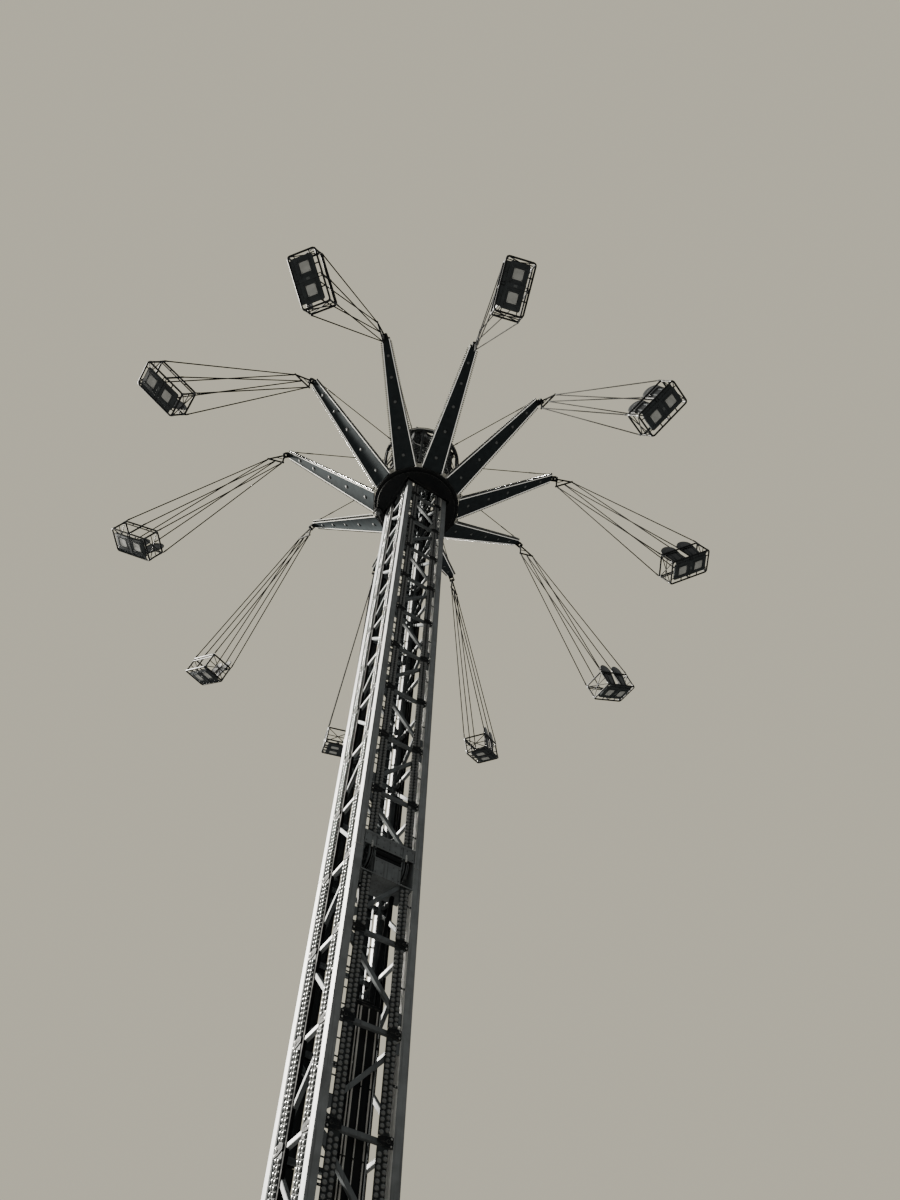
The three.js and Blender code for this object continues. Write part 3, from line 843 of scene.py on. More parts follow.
class Coat(Enum):
    """The ride's finishes, by where they are used."""

    LEG = Paint("leg_paint", (0.18, 0.192, 0.198), 0.45, shine=0.25, streaks=0.45)
    BRACE = Paint("lattice_bar_paint", (0.115, 0.126, 0.132), 0.55, shine=0.08, bare=(0.2, 0.2, 0.19),
                  edges=0.4)
    STRIP = Paint("strip_paint", (0.032, 0.036, 0.038), 0.6, shine=0.06, edges=0.25, chips=0.05)
    BLACK = Paint("black_paint", (0.013, 0.0145, 0.016), 0.6, shine=0.04, bare=(0.2, 0.2, 0.19), edges=0.4)
    ARM = Paint("arm_panel_paint", (0.030, 0.0365, 0.040), 0.7, shine=0.01, bare=(0.15, 0.15, 0.15),
                edges=0.3, patches=0.25, streaks=0.2)
    EDGE = Paint("arm_edge_paint", (0.66, 0.66, 0.62), 0.4, grime=(0.2, 0.19, 0.17), edges=0.3, chips=0.05)
    # Painted light: the arm's two underside strips beside the dark panel glow, though they are no lamp, so that they
    # stay bright where they lie in shade
    EDGE_PAINTED_LIGHT = Finish("arm_edge_painted_glow", (0.74, 0.73, 0.68), 0.3, coat=0.3, bump=0.03, glow=0.58)
    # Painted shade: near-black for the rails and the gap backing beside the strips, standing in for the shadow in
    # those slots
    PAINTED_SHADE = Moulding("gap_painted_shade_black", (0.005, 0.0055, 0.006), 0.8, shine=0.05, scuff=(0.01, 0.01, 0.01))
    # Painted sunlight: a pale sheet on the front legs' inner faces that stands in for the sun falling on them
    PAINTED_SUNLIGHT = Paint("leg_inner_face_painted_sunlight", (0.85, 0.85, 0.82), 0.5, shine=0.1, grime=(0.45, 0.43, 0.4), edges=0.3)
    HOIST = Paint("hoist_plate_paint", (0.150, 0.162, 0.168), 0.55, shine=0.08, bare=(0.15, 0.15, 0.15), edges=0.3)
    DRIVE = Paint("drive_paint", (0.06, 0.065, 0.07), 0.35, coat=0.3)
    FITTING = Paint("fitting_paint", (0.5, 0.49, 0.46), 0.4, grime=(0.08, 0.075, 0.07))
    CAP = Finish("bulb_cap_clear", (0.1, 0.105, 0.105), 0.25, coat=0.4, bump=0.02)
    CAP_ARM = Finish("arm_bulb_cap", (0.07, 0.072, 0.07), 0.25, coat=0.5, bump=0.02)
    SOCKET = Moulding("bulb_socket", (0.05, 0.052, 0.052), 0.5)
    LENS = Finish("lamp_lens", (0.15, 0.16, 0.165), 0.6, shine=0.1, bump=0.03)
    ZINC = Galvanised("zinc_steel", (0.52, 0.52, 0.5), 0.38, metallic=0.85)
    CHROME = Finish("polished_rod", (0.55, 0.55, 0.54), 0.16, metallic=1.0, bump=0.01)
    WIRE = Galvanised("wire_rope_steel", (0.005, 0.005, 0.005), 0.75, shine=0.06, spangle=60.0,
                      weathered=(0.003, 0.003, 0.003))
    SEAT = Moulding("seat_shell_black", (0.014, 0.015, 0.016), 0.36, coat=0.2)
    PANEL = Moulding("seat_panel_grey", (0.46, 0.47, 0.46), 0.55, shine=0.2, scuff=(0.7, 0.7, 0.68))
    FRAME = Paint("gondola_frame_paint", (0.013, 0.0145, 0.016), 0.5, shine=0.15, bare=(0.12, 0.12, 0.12), edges=0.4)
    PAN = Paint("gondola_pan_paint", (0.050, 0.057, 0.062), 0.6, shine=0.05, bare=(0.12, 0.12, 0.12), edges=0.4)
    FRAME_LIGHT = Paint("gondola_clamp_paint", (0.06, 0.064, 0.066), 0.4, bare=(0.25, 0.25, 0.24))
    RUBBER = Moulding("rubber", (0.012, 0.012, 0.012), 0.8, shine=0.12, scuff=(0.05, 0.05, 0.05))
    CABLE = Moulding("stay_jacket", (0.006, 0.006, 0.006), 0.7, shine=0.1, scuff=(0.02, 0.02, 0.02))

    def material(self) -> bpy.types.Material:
        """The finish's Blender material."""
        return self.value.material()


# The ride's shared sizes, and how pieces are put in place


@dataclass(frozen=True)
class RideSizes:
    """Sizes that more than one sub-assembly is built on, as in the frame."""

    tower_half: float = 0.700
    tower_top: float = 31.400
    base_height: float = 0.100
    bay: float = 1.565
    bays: int = 20
    leg: float = 0.160
    ring_bottom: float = 27.300
    ring_top: float = 27.760
    ring_inner: float = 1.155
    ring_outer: float = 1.350
    arms: int = 10
    first_arm: float = 7.5  # degrees
    pivot_radius: float = 4.720
    pivot_height: float = 30.150
    swing: float = math.radians(30.0)
    trail: float = math.radians(7.0)

    def arm_turns(self) -> list[Matrix]:
        """The turns that take an arm's own frame, X outward, to where each arm stands."""
        return around(self.arms, self.first_arm)

    def between_arms(self) -> list[Matrix]:
        """The turns halfway from each arm to the next."""
        return around(self.arms, self.first_arm + 180 / self.arms)

    def pivot_place(self) -> Matrix:
        """The place of a pivot in its arm's frame, turned a little behind the arm."""
        return upright(self.pivot_radius, 0, self.pivot_height) @ turned(-self.trail)

    def flung(self, arm_turn: Matrix) -> Matrix:
        """The place of a pivot's own frame on an arm, with the gondola flung outward."""
        return arm_turn @ self.pivot_place() @ Matrix.Rotation(-self.swing, 4, "Y")


SIZES = RideSizes()


@dataclass
class Fitter:
    """Turns sketches into pieces that ride on the frame's bodies."""

    made: int = 0

    def fit(self, mesh: bpy.types.Mesh, name: str, body: str,
            replaces: Sequence[str] = (), place: Matrix = ORIGIN) -> None:
        """Puts a mesh in place as one piece.

        Args:
            mesh: The piece's mesh, with its finishes.
            name: The piece's name.
            body: The frame's body that it rides on.
            replaces: The frame's nodes that it stands for.
            place: Where it stands in the row frame.
        """
        piece = bpy.data.objects.new(name, mesh)
        bpy.context.scene.collection.objects.link(piece)
        piece.matrix_world = place
        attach(piece, body)
        if replaces:
            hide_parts(*replaces)
        self.made += 1
        LOG.info("%s rides on %s", name, body)

    def make(self, sketch: Sketch, name: str, body: str,
             replaces: Sequence[str] = (), place: Matrix = ORIGIN) -> None:
        """Makes a sketch's mesh and puts it in place as one piece, with what fit() takes."""
        self.fit(sketch.mesh(name), name, body, replaces, place)


# Small parts that are used all over


def facing(place: Point, direction: Point) -> Matrix:
    """A place whose local Z faces a direction."""
    return from_to(place, Vector(place) + Vector(direction))


def bolt_head(across_flats: float, coat: Coat = Coat.ZINC) -> Sketch:
    """A hexagon head on a washer, standing on the local XY plane and facing Z.

    Args:
        across_flats: The head's size.
        coat: Its finish.

    Returns:
        The sketch.
    """
    part, radius = Sketch(coat), across_flats / math.sqrt(3)
    part.lathe([(radius * 1.25, 0), (radius * 1.25, radius * 0.2)], ORIGIN, 10, smooth=False, ends=Ends.LAST)
    return part.lathe([(radius, radius * 0.2), (radius, radius * 0.75), (radius * 0.86, radius * 0.9)], ORIGIN, 6,
                      edges=[0.3, 1.0], smooth=False, ends=Ends.LAST)


def bulb_cap(radius: float, height: float, coat: Coat) -> Sketch:
    """A cap bulb in its socket, standing on the local XY plane and facing Z.

    Args:
        radius: The cap's radius.
        height: How far it stands proud.
        coat: The cap's finish.

    Returns:
        The sketch.
    """
    part, foot, shoulder = Sketch(coat), radius * 1.04, height * 0.3
    part.lathe([(radius * 1.1, 0), (foot, shoulder)], ORIGIN, 8, Coat.SOCKET, ends=Ends.NONE)
    return part.lathe([(foot, shoulder), (radius * 0.86, height * 0.72), (radius * 0.42, height)], ORIGIN, 8,
                      ends=Ends.LAST)


def mirrored(source: Sketch, flip: Matrix) -> Sketch:
    """A copy of a sketch that is mirrored, with its faces turned to match.

    Args:
        source: What is copied.
        flip: The mirroring matrix.

    Returns:
        The mirrored sketch.
    """
    made = Sketch(source.coat).stamp(source, [flip])
    made.faces = [(corners[:, ::-1], *marks) for corners, *marks in made.faces]
    return made


# The tower


@dataclass
class LatticeSide:
    """One side of the tower: its bars, its two bulb strips and, front and rear, its legs."""

    node: str
    quarter: int
    with_legs: bool
    clear: tuple[float, float] = (0.0, 0.0)  # the heights that the sheave beam takes up
    leg_bevel: float = 0.009
    # The thin pale sheet of painted sunlight on the front legs' inner faces: its thickness, and its inset from the
    # leg's edges
    sunlight_sheet: float = 0.0015
    sunlight_sheet_inset: float = 0.011
    foot_half: float = 0.15
    foot_thick: float = 0.03
    foot_bolt: float = 0.12
    plate_in: float = 0.5277
    plate_out: float = 0.5397
    plate_bolts: float = 0.14
    bar: float = 0.076
    bar_line: float = 0.610
    bar_bevel: float = ROUND
    bar_reach: tuple[float, float] = (0.534, 0.545)  # between plates, and between legs
    strip_in: float = 0.295
    strip_out: float = 0.470
    strip_face: float = 0.674
    strip_back: float = 0.650
    strip_foot: float = 0.2603
    strip_least: float = 0.15
    sheet: float = 0.006
    break_half: float = 0.062
    bulb_radius: float = 0.036
    bulb_height: float = 0.032
    bulb_pitch: float = 0.085
    bulb_inset: float = 0.042
    fitting_face: float = 0.684
    fitting_out: float = 0.538
    # The near-black rails and gap backing beside the strips, which are painted shade
    rail_in: float = 0.232
    rail_out: float = 0.284
    rail_web: float = 0.008
    gap_in: float = 0.4735
    gap_out: float = 0.5245
    section_bays: int = 4
    ladder_middle: float = -0.20
    ladder_half: float = 0.20
    ladder_line: float = -0.520
    rung_pitch: float = 0.3

    @property
    def turn(self) -> Matrix:
        """The turn from the front side to this one."""
        return turned(self.quarter * math.pi / 2)

    def open_levels(self, below: float = 0.0) -> list[float]:
        """The heights of the level bars, or of points below them, that the sheave beam leaves free."""
        heights = [self.level(bay) - below for bay in range(1, SIZES.bays + 1)]
        return [height for height in heights if not self.clear[0] < height < self.clear[1]]

    def level(self, bay: int) -> float:
        """The height of the level bar on top of a bay, counted from 1."""
        return SIZES.base_height + bay * SIZES.bay - self.bar

    def runs(self) -> list[tuple[float, float]]:
        """The runs of bulb strip, from one level's fitting to the next.

        Returns:
            The lowest and highest point of each run.
        """
        cuts = [(height - self.break_half, height + self.break_half) for height in self.open_levels()]
        if self.clear[1] > 0:
            cuts.append(self.clear)
        starts = [self.strip_foot] + sorted(high for _, high in cuts)
        ends = sorted(low for low, _ in cuts) + [SIZES.tower_top]
        return [(low, high) for low, high in zip(starts, ends) if high - low > self.strip_least]

    def legs(self, part: Sketch) -> None:
        """Draws the two legs in sections, each with its foot plate; on the front side each leg's inner face gets a
        thin pale sheet, painted sunlight for the sun that falls on it through the slot.

        Args:
            part: The sketch that is added to.
        """
        outer, wide, inner = SIZES.tower_half, SIZES.leg, SIZES.tower_half - SIZES.leg
        step, middle, foot, thick = self.section_bays * SIZES.bay, wide / 2, self.foot_half, self.foot_thick
        gusset = [(0.08, 0), (foot - 0.005, 0), (0.08, 0.16)]
        for side in SIDES:
            for section in range(SIZES.bays // self.section_bays):
                low = SIZES.base_height + section * step + TOUCH
                high = SIZES.base_height + (section + 1) * step
                part.box((side * inner, -outer, low), (side * outer, wide - outer, high - 0.001), self.leg_bevel)
                # Painted sunlight: on the front side, a thin pale sheet on each leg's inner face stands in for the sun
                # that reaches it
                if self.quarter == 0:
                    cut = self.sunlight_sheet_inset
                    part.box((side * (inner + 0.0002), cut - outer, low + 0.010),
                             (side * (inner - self.sunlight_sheet), wide - outer - cut, high - cut), 0.0, Coat.PAINTED_SUNLIGHT)
            base = upright(side * (outer - middle), middle - outer, SIZES.base_height + TOUCH + 0.0001)
            part.box((-foot, -foot, 0), (foot, foot, thick), place=base)
            top = base @ upright(0, 0, thick)
            for turn in around(4):
                part.prism(gusset, 0.012, top @ turn @ STAND, THIN)
            bolts = [top @ upright(dx * self.foot_bolt, dy * self.foot_bolt, 0) for dx in SIDES for dy in SIDES]
            part.stamp(bolt_head(0.036), bolts)

    def edges(self, part: Sketch) -> None:
        """Draws the edge plates that bolt a side to its neighbours' legs.

        Args:
            part: The sketch that is added to.
        """
        for side in SIDES:
            part.box((side * self.plate_in, -0.690, SIZES.base_height + TOUCH),
                     (side * self.plate_out, -0.572, SIZES.tower_top), FINE, Coat.BRACE)
            bolts = [facing((side * self.plate_in, -0.600, self.level(bay) - 0.1 + step), (-side, 0, 0))
                     for bay in range(1, SIZES.bays + 1) for step in (-self.plate_bolts, self.plate_bolts)]
            part.stamp(bolt_head(0.024), bolts)

    def bars(self, part: Sketch) -> None:
        """Draws the level bars and the zigzag with their node plates.

        Args:
            part: The sketch that is added to.
        """
        reach, y = self.bar_reach[self.with_legs], -self.bar_line
        square, level_coat = (self.bar, self.bar, self.bar_bevel), Coat.BRACE if self.with_legs else Coat.LEG
        for height in self.open_levels():
            part.beam((-reach, y, height), (reach, y, height), *square, level_coat)
        for bay in range(SIZES.bays):
            low = SIZES.base_height + bay * SIZES.bay + 2 * self.bar
            high = low + SIZES.bay - 5 * self.bar
            lean = 1 if bay % 2 else -1
            start, end = Vector((-lean * reach, y, low)), Vector((lean * reach, y, high))
            for limit in self.clear:
                if low < limit < high:
                    cut = start.lerp(end, (limit - low) / (high - low))
                    start, end = (start, cut) if limit == self.clear[0] else (cut, end)
            part.beam(start, end, *square, Coat.BRACE)
            for place, side, down in ((start, -lean, 1), (end, lean, -1)):
                if abs(abs(place.x) - reach) < 1e-6:
                    flat = [(0, -0.06 * down), (-0.19 * side, 0.075 * down), (-0.15 * side, 0.14 * down),
                            (0, 0.14 * down)]
                    flat = flat if down * side > 0 else flat[::-1]
                    face = upright(side * (self.plate_in + 0.0073), y - self.bar / 2 - 0.004, place.z)
                    part.prism(flat, 0.010, face @ STAND, THIN, Coat.BRACE)

    def strips(self, part: Sketch) -> None:
        """Draws the two bulb strips as shallow channels, run by run.

        Args:
            part: The sketch that is added to.
        """
        face, back, sheet = -self.strip_face, -self.strip_back, self.sheet
        near, far = self.strip_in, self.strip_out
        for side in SIDES:
            for low, high in self.runs():
                for start, end, front, rear in ((near, far, face, face + sheet),
                                                (near, near + sheet, face + 0.005, back),
                                                (far - sheet, far, face + 0.005, back)):
                    part.box((side * start, front, low), (side * end, rear, high), THIN, Coat.STRIP)

    def fittings(self, part: Sketch) -> None:
        """Draws the dark fitting at each level and the small bracket at each half bay.

        Args:
            part: The sketch that is added to.
        """
        out, face = self.fitting_out, self.fitting_face
        single, small = Sketch(Coat.BLACK), Sketch(Coat.BLACK)
        single.prism([(0.285, -0.045), (0.420, -0.080), (out, -0.080), (out, 0.080), (0.420, 0.080), (0.285, 0.045)],
                     0.012, upright(0, -face, 0) @ STAND, FINE)
        single.box((0.330, -face - 0.010, -0.012), (out, -face, 0.012), FINE)
        single.lathe([(0.030, 0), (0.030, 0.010), (0.024, 0.014)], upright(0.450, -face - 0.005, 0) @ STAND, 12,
                     edges=[0.0, 1.0])
        single.stamp(bolt_head(0.022), [upright(0.505, -face - 0.006, z) @ STAND for z in (-0.05, 0.05)])
        single.box((0.300, -face, -0.030), (0.320, -0.640, 0.030), FINE)
        single.box((0.520, -face, -0.055), (0.536, -0.625, 0.055), FINE)
        small.box((0.462, -face - 0.002, -0.018), (out, -face + 0.008, 0.018), THIN)
        small.stamp(bolt_head(0.018), [upright(0.500, -face - 0.002, 0) @ STAND])
        flip = Matrix.Diagonal((-1, 1, 1, 1))
        for source, heights in ((single, self.open_levels()), (small, self.open_levels(SIZES.bay / 2))):
            for copy in (source, mirrored(source, flip)):
                part.stamp(copy, [upright(0, 0, height) for height in heights])

    def rails(self, part: Sketch) -> None:
        """Draws near-black upright rails beside each strip and a near-black backing in the gap next to it, painted
        shade for the slots that lie in shadow.

        Args:
            part: The sketch that is added to.
        """
        near, far, web = self.rail_in, self.rail_out, self.rail_web
        for side in SIDES:
            # Every piece here is near-black painted shade: the rail's face, its web, and the backing in the gap
            for start, end, front, rear, bevel in ((near, far, 0.662, 0.645, FINE),
                                                   (near, near + web, 0.646, 0.600, FINE),
                                                   (self.gap_in, self.gap_out, 0.652, 0.646, THIN)):
                part.box((side * start, -front, self.strip_foot), (side * end, -rear, SIZES.tower_top), bevel,
                         Coat.PAINTED_SHADE)

    def ladder(self, part: Sketch) -> None:
        """Draws the ladder inside the rear side.

        Args:
            part: The sketch that is added to.
        """
        rails, y = [self.ladder_middle + side * self.ladder_half for side in SIDES], self.ladder_line
        for x in rails:
            part.box((x - 0.006, y - 0.030, 0.300), (x + 0.006, y + 0.030, SIZES.tower_top - 0.1), THIN, Coat.BRACE)
            for bay in range(1, SIZES.bays + 1, 2):
                height = self.level(bay)
                part.box((x - 0.02, -0.574, height - 0.02), (x + 0.02, y - 0.028, height + 0.02), THIN, Coat.BRACE)
        for height in np.arange(0.5, SIZES.tower_top - self.rung_pitch, self.rung_pitch):
            part.tube([(x, y, height) for x in rails], 0.013, 8, Coat.BRACE)

    def bulbs(self) -> Sketch:
        """Draws the two staggered rows of bulbs on both strips.

        Returns:
            The sketch, in the side's own frame.
        """
        places = []
        for low, high in self.runs():
            for row, x in enumerate((self.strip_in + self.bulb_inset, self.strip_out - self.bulb_inset)):
                first = low + 0.045 + row * self.bulb_pitch / 2
                for height in np.arange(first, high - 0.04, self.bulb_pitch):
                    places += [upright(side * x, -self.strip_face, height) @ STAND for side in SIDES]
        return Sketch(Coat.CAP).stamp(bulb_cap(self.bulb_radius, self.bulb_height, Coat.CAP), places)

    def build(self, fitter: Fitter) -> None:
        """Draws the side and fits it with its bulbs.

        Args:
            fitter: What puts pieces in place.
        """
        part = Sketch(Coat.LEG)
        if self.with_legs:
            self.legs(part)
        else:
            self.edges(part)
            self.rails(part)
        self.bars(part)
        self.strips(part)
        self.fittings(part)
        if self.quarter == 2:
            self.ladder(part)
        fitter.make(part, self.node + "_steel", "tower", [self.node], self.turn)
        fitter.make(self.bulbs(), self.node + "_bulbs", "tower", (), self.turn)


@dataclass
class Tower:
    """The lattice tower on its foot."""

    foot_half: float = 0.860
    foot_beam: float = 0.260
    bevel: float = SOFT
    bolt_line: float = 0.06
    edge_bolts: tuple[float, ...] = (-0.62, -0.42, -0.2, 0.2, 0.42, 0.62)
    cross_line: float = 0.35
    cross_bolts: tuple[float, float] = (-0.08, 0.08)
    beam_seat: tuple[float, float] = (12.1197, 13.0203)

    def foot(self) -> Sketch:
        """Draws the foot: four edge beams and a cross, with its ground bolts.

        Returns:
            The sketch.
        """
        part = Sketch(Coat.BLACK)
        half, wide, high = self.foot_half, self.foot_beam, SIZES.base_height
        inner, rib = half - wide, wide / 2
        for side in SIDES:
            part.box((-half, side * inner, 0), (half, side * half, high), self.bevel)
            part.box((side * inner, -inner, 0), (side * half, inner, high), self.bevel)
        part.box((-inner, -rib, 0), (inner, rib, high), self.bevel)
        for side in SIDES:
            part.box((-rib, side * rib, 0), (rib, side * inner, high), self.bevel)
        bolts = []
        for side in SIDES:
            spots = [(along, half - self.bolt_line) for along in self.edge_bolts]
            spots += [(along, self.cross_line) for along in self.cross_bolts]
            bolts += [upright(along, side * reach, high) for along, reach in spots]
            bolts += [upright(side * reach, along, high) for along, reach in spots]
        return part.stamp(bolt_head(0.041), bolts)

    def build(self, fitter: Fitter) -> None:
        """Builds the foot and the four sides.

        Args:
            fitter: What puts pieces in place.
        """
        fitter.make(self.foot(), "foot_frame", "tower", ["base_frame"])
        LatticeSide("tower_front_side", 0, True, self.beam_seat).build(fitter)
        LatticeSide("tower_right_side", 1, False).build(fitter)
        LatticeSide("tower_rear_side", 2, True).build(fitter)
        LatticeSide("tower_left_side", 3, False).build(fitter)


# The hoist: head, sheave beam, mast and ropes


def rope_wheel(radius: float, rope: float, coat: Coat) -> Sketch:
    """A rope wheel about the local Z axis, with a grooved rim, a dished web and a hub.

    Args:
        radius: The radius at the bottom of its groove.
        rope: The rope's diameter.
        coat: Its finish, apart from the groove and the bolts.

    Returns:
        The sketch.
    """
    part, half, lip, rim, hub = Sketch(coat), 0.035, radius + rope * 0.55, radius * 0.82, 0.085
    wall = [(rim, -half), (lip - 0.004, -half), (lip, -half + 0.004), (lip, -rope * 0.6)]
    web = [(0.0, -half * 1.02), (0.078, -half * 1.02), (hub, -half * 0.35), (rim - 0.01, -half * 0.35), (rim, -half)]
    groove = [(lip, -rope * 0.6), (radius + rope * 0.18, -rope * 0.42), (radius, 0)]
    part.lathe(groove + flipped(groove)[1:], ORIGIN, 40, Coat.ZINC, ends=Ends.NONE)
    for profile, edges in ((wall, [0, 1, 0]), (flipped(wall), [0, 1, 0]), (web, ()), (flipped(web), ())):
        part.lathe(profile, ORIGIN, 40, edges=edges, ends=Ends.NONE)
    spots = [turn @ Vector(((hub + rim) / 2, 0, half * 0.35)) for turn in around(6, 30)]
    return part.stamp(bolt_head(0.024), [side @ upright(*spot) for spot in spots for side in (ORIGIN, DOWN)])


def arc(centre: Point, radius: float, start: float, end: float, steps: int) -> list[Point]:
    """Points of an arc in the plane of Y and Z, from one angle to another, in degrees."""
    x, *middle = centre
    return [(x, y, z) for y, z in on_arc(radius, start, end, steps, middle)]


@dataclass
class Hoist:
    """The rope wheels in the tower's head and in the sheave beam, the mast below, and both ropes."""

    spread: float = 0.360
    rope: float = 0.026
    rope_line: float = -0.160
    rope_slot: float = 0.070
    axle: float = 0.030
    head_plate: float = 0.060
    head_radius: float = 0.240
    head_rib: tuple[float, float] = (0.62, 0.09)  # how far out, and how high
    bearer_half: float = 0.240
    bearer_foot: float = 0.075
    beam_radius: float = 0.260
    beam_low: float = 12.120
    beam_high: float = 13.020
    brow: float = 0.300
    apron: float = 0.380
    wide: float = 0.5397
    inner: float = 0.290
    front: float = -0.690
    back: float = -0.150
    plate: float = 0.020
    cross_tubes: tuple[tuple[float, float], ...] = ((0.090, 0.056), (-0.018, 0.044))  # above the axle, and radius
    mast_half: float = 0.230
    mast_front: float = -0.498
    mast_depth: float = 0.340
    mast_top: float = 9.900
    mast_pitch: float = 0.98
    link: tuple[float, float] = (0.110, 0.330)  # its lower and its upper end, from the middle
    rod: float = 0.262
    rod_stay: float = 0.288
    rod_levels: tuple[float, ...] = (0.5, 3.2, 6.2, 9.2)
    cables: tuple[tuple[float, float], ...] = ((-0.172, 0.011), (-0.118, 0.016), (0.024, 0.010), (0.178, 0.013))

    @property
    def head_axle(self) -> float:
        """The height of the head's axle."""
        return SIZES.tower_top + TOUCH + self.head_plate + self.head_radius + self.axle

    @property
    def beam_axle(self) -> float:
        """The height of the sheave beam's axle."""
        return (self.beam_low + self.beam_high) / 2

    def head(self) -> Sketch:
        """Draws the head: plate with edge ribs, bearers, wheels, axles and caps.

        Returns:
            The sketch.
        """
        part, half, slot, bolts = Sketch(Coat.BLACK), SIZES.tower_half, self.rope_slot, []
        low = SIZES.tower_top + TOUCH
        top = low + self.head_plate
        near, far = self.rope_line - slot, self.rope_line + slot / 2
        part.box((-half, -half, low), (half, near, top))
        part.box((-half, far, low), (half, half, top))
        edges = (-half, -self.spread - slot, -self.spread + slot, self.spread - slot, self.spread + slot, half)
        for left, right in zip(edges[::2], edges[1::2]):
            part.box((left, near - 0.002, low + 0.001), (right, far + 0.002, top - 0.001), FINE)
        reach, rise = self.head_rib
        for side in SIDES:
            rib = side * reach
            part.box((-half + 0.02, rib - 0.008, top), (half - 0.02, rib + 0.008, top + rise), FINE)
            part.box((rib - 0.008, -half + 0.09, top), (rib + 0.008, half - 0.09, top + rise), FINE)
        axle, line, wide = self.head_axle, self.rope_line + self.head_radius, self.bearer_half
        bearer = [(line - wide, low + 0.03), (line + wide, low + 0.03), (line + wide, low + 0.12),
                  (line + 0.110, axle + 0.035), (line - 0.110, axle + 0.035), (line - wide, low + 0.12)]
        for middle in (-self.spread, self.spread):
            for side in SIDES:
                x, foot = middle + side * 0.090, side * self.bearer_foot
                part.prism(bearer, 0.040, upright(x, 0, 0) @ turned(math.pi / 2) @ STAND, PLAIN)
                part.box((x, line - wide + 0.005, top), (x + foot, line + wide - 0.005, top + 0.016), FINE)
                bolts += [upright(x + foot * 0.65, line + dy, top + 0.016) for dy in (-0.19, -0.07, 0.07, 0.19)]
                cap = facing((middle + side * 0.130, line, axle), (side, 0, 0))
                part.stamp(bolt_head(0.050), [cap])
            wheel = rope_wheel(self.head_radius - self.rope / 2, self.rope, Coat.BLACK)
            part.stamp(wheel, [facing((middle, line, axle), Axis.X.value)])
            part.tube([(middle + dx, line, axle) for dx in (-0.130, 0.130)], self.axle, 20, Coat.ZINC)
        return part.stamp(bolt_head(0.030), bolts)

    def beam(self) -> Sketch:
        """Draws the sheave beam: brow, apron, wheel bays, cross tubes, seams and bolts.

        Returns:
            The sketch.
        """
        part, t = Sketch(Coat.HOIST), self.plate
        wide, inner, front, back = self.wide, self.inner, self.front, self.back
        low, high = self.beam_low, self.beam_high
        brow, apron, slot = high - self.brow, low + self.apron, self.rope_line - self.rope_slot
        for start, end, bevel in (((-wide, front + 0.004, brow + 0.004), (wide, front + t, high - 0.004), HAIR),
                                  ((-wide, front - 0.008, high - 0.05), (wide, front + t, high), PLAIN),
                                  ((-wide, front - 0.006, brow), (wide, front + t, brow + 0.03), PLAIN),
                                  ((-wide, front, high - t), (wide, slot, high), FINE),
                                  ((0.04 - self.spread, back - t, brow), (self.spread - 0.04, back, high), FINE),
                                  ((-inner, slot, high - t), (inner, back, high), FINE),
                                  ((-wide, front, low), (wide, back, low + t), PLAIN),
                                  ((-inner, back - t, low), (inner, back, high), FINE),
                                  ((-inner, front - 0.006, apron - 0.03), (inner, front + t, apron), PLAIN),
                                  ((-wide, front - 0.006, low), (wide, front + t, low + 0.028), PLAIN)):
            part.box(start, end, bevel)
        line, axle = self.rope_line - self.beam_radius, self.beam_axle
        for height, radius in self.cross_tubes:
            part.tube([(x, front + 0.052, axle + height) for x in (-inner, inner)], radius, 20, Coat.BLACK)
        for side in SIDES:
            part.box((side * wide, front, brow), (side * 0.002, front + t, high))
            part.box((side * inner, front, low), (side * 0.002, front + t, apron))
            part.box((side * wide, back - t, brow), (side * (self.spread + 0.04), back, high), FINE)
            for x in (wide, inner):
                part.box((side * (x - t), front, low), (side * x, back, high))
            middle = side * self.spread
            wheel = rope_wheel(self.beam_radius - self.rope / 2, self.rope, Coat.BRACE)
            part.stamp(wheel, [facing((middle, line, axle), Axis.X.value)])
            part.tube([(x, line, axle) for x in sorted((side * inner, side * wide))], self.axle, 20, Coat.ZINC)
            for shift in (-0.045, 0.045):
                guard = arc((middle + shift, line, axle), self.beam_radius + 0.022, 150, 260, 14)
                part.tube(guard, 0.006, 8, Coat.BRACE)
        spots = [(x, z) for x in np.linspace(-0.49, 0.49, 9) for z in (high - 0.085, brow + 0.065)]
        spots += [(x, z) for x in (-0.24, -0.12, 0.12, 0.24) for z in (low + 0.07, low + 0.31)]
        return part.stamp(bolt_head(0.022, Coat.BRACE), [upright(x, front, z) @ STAND for x, z in spots])

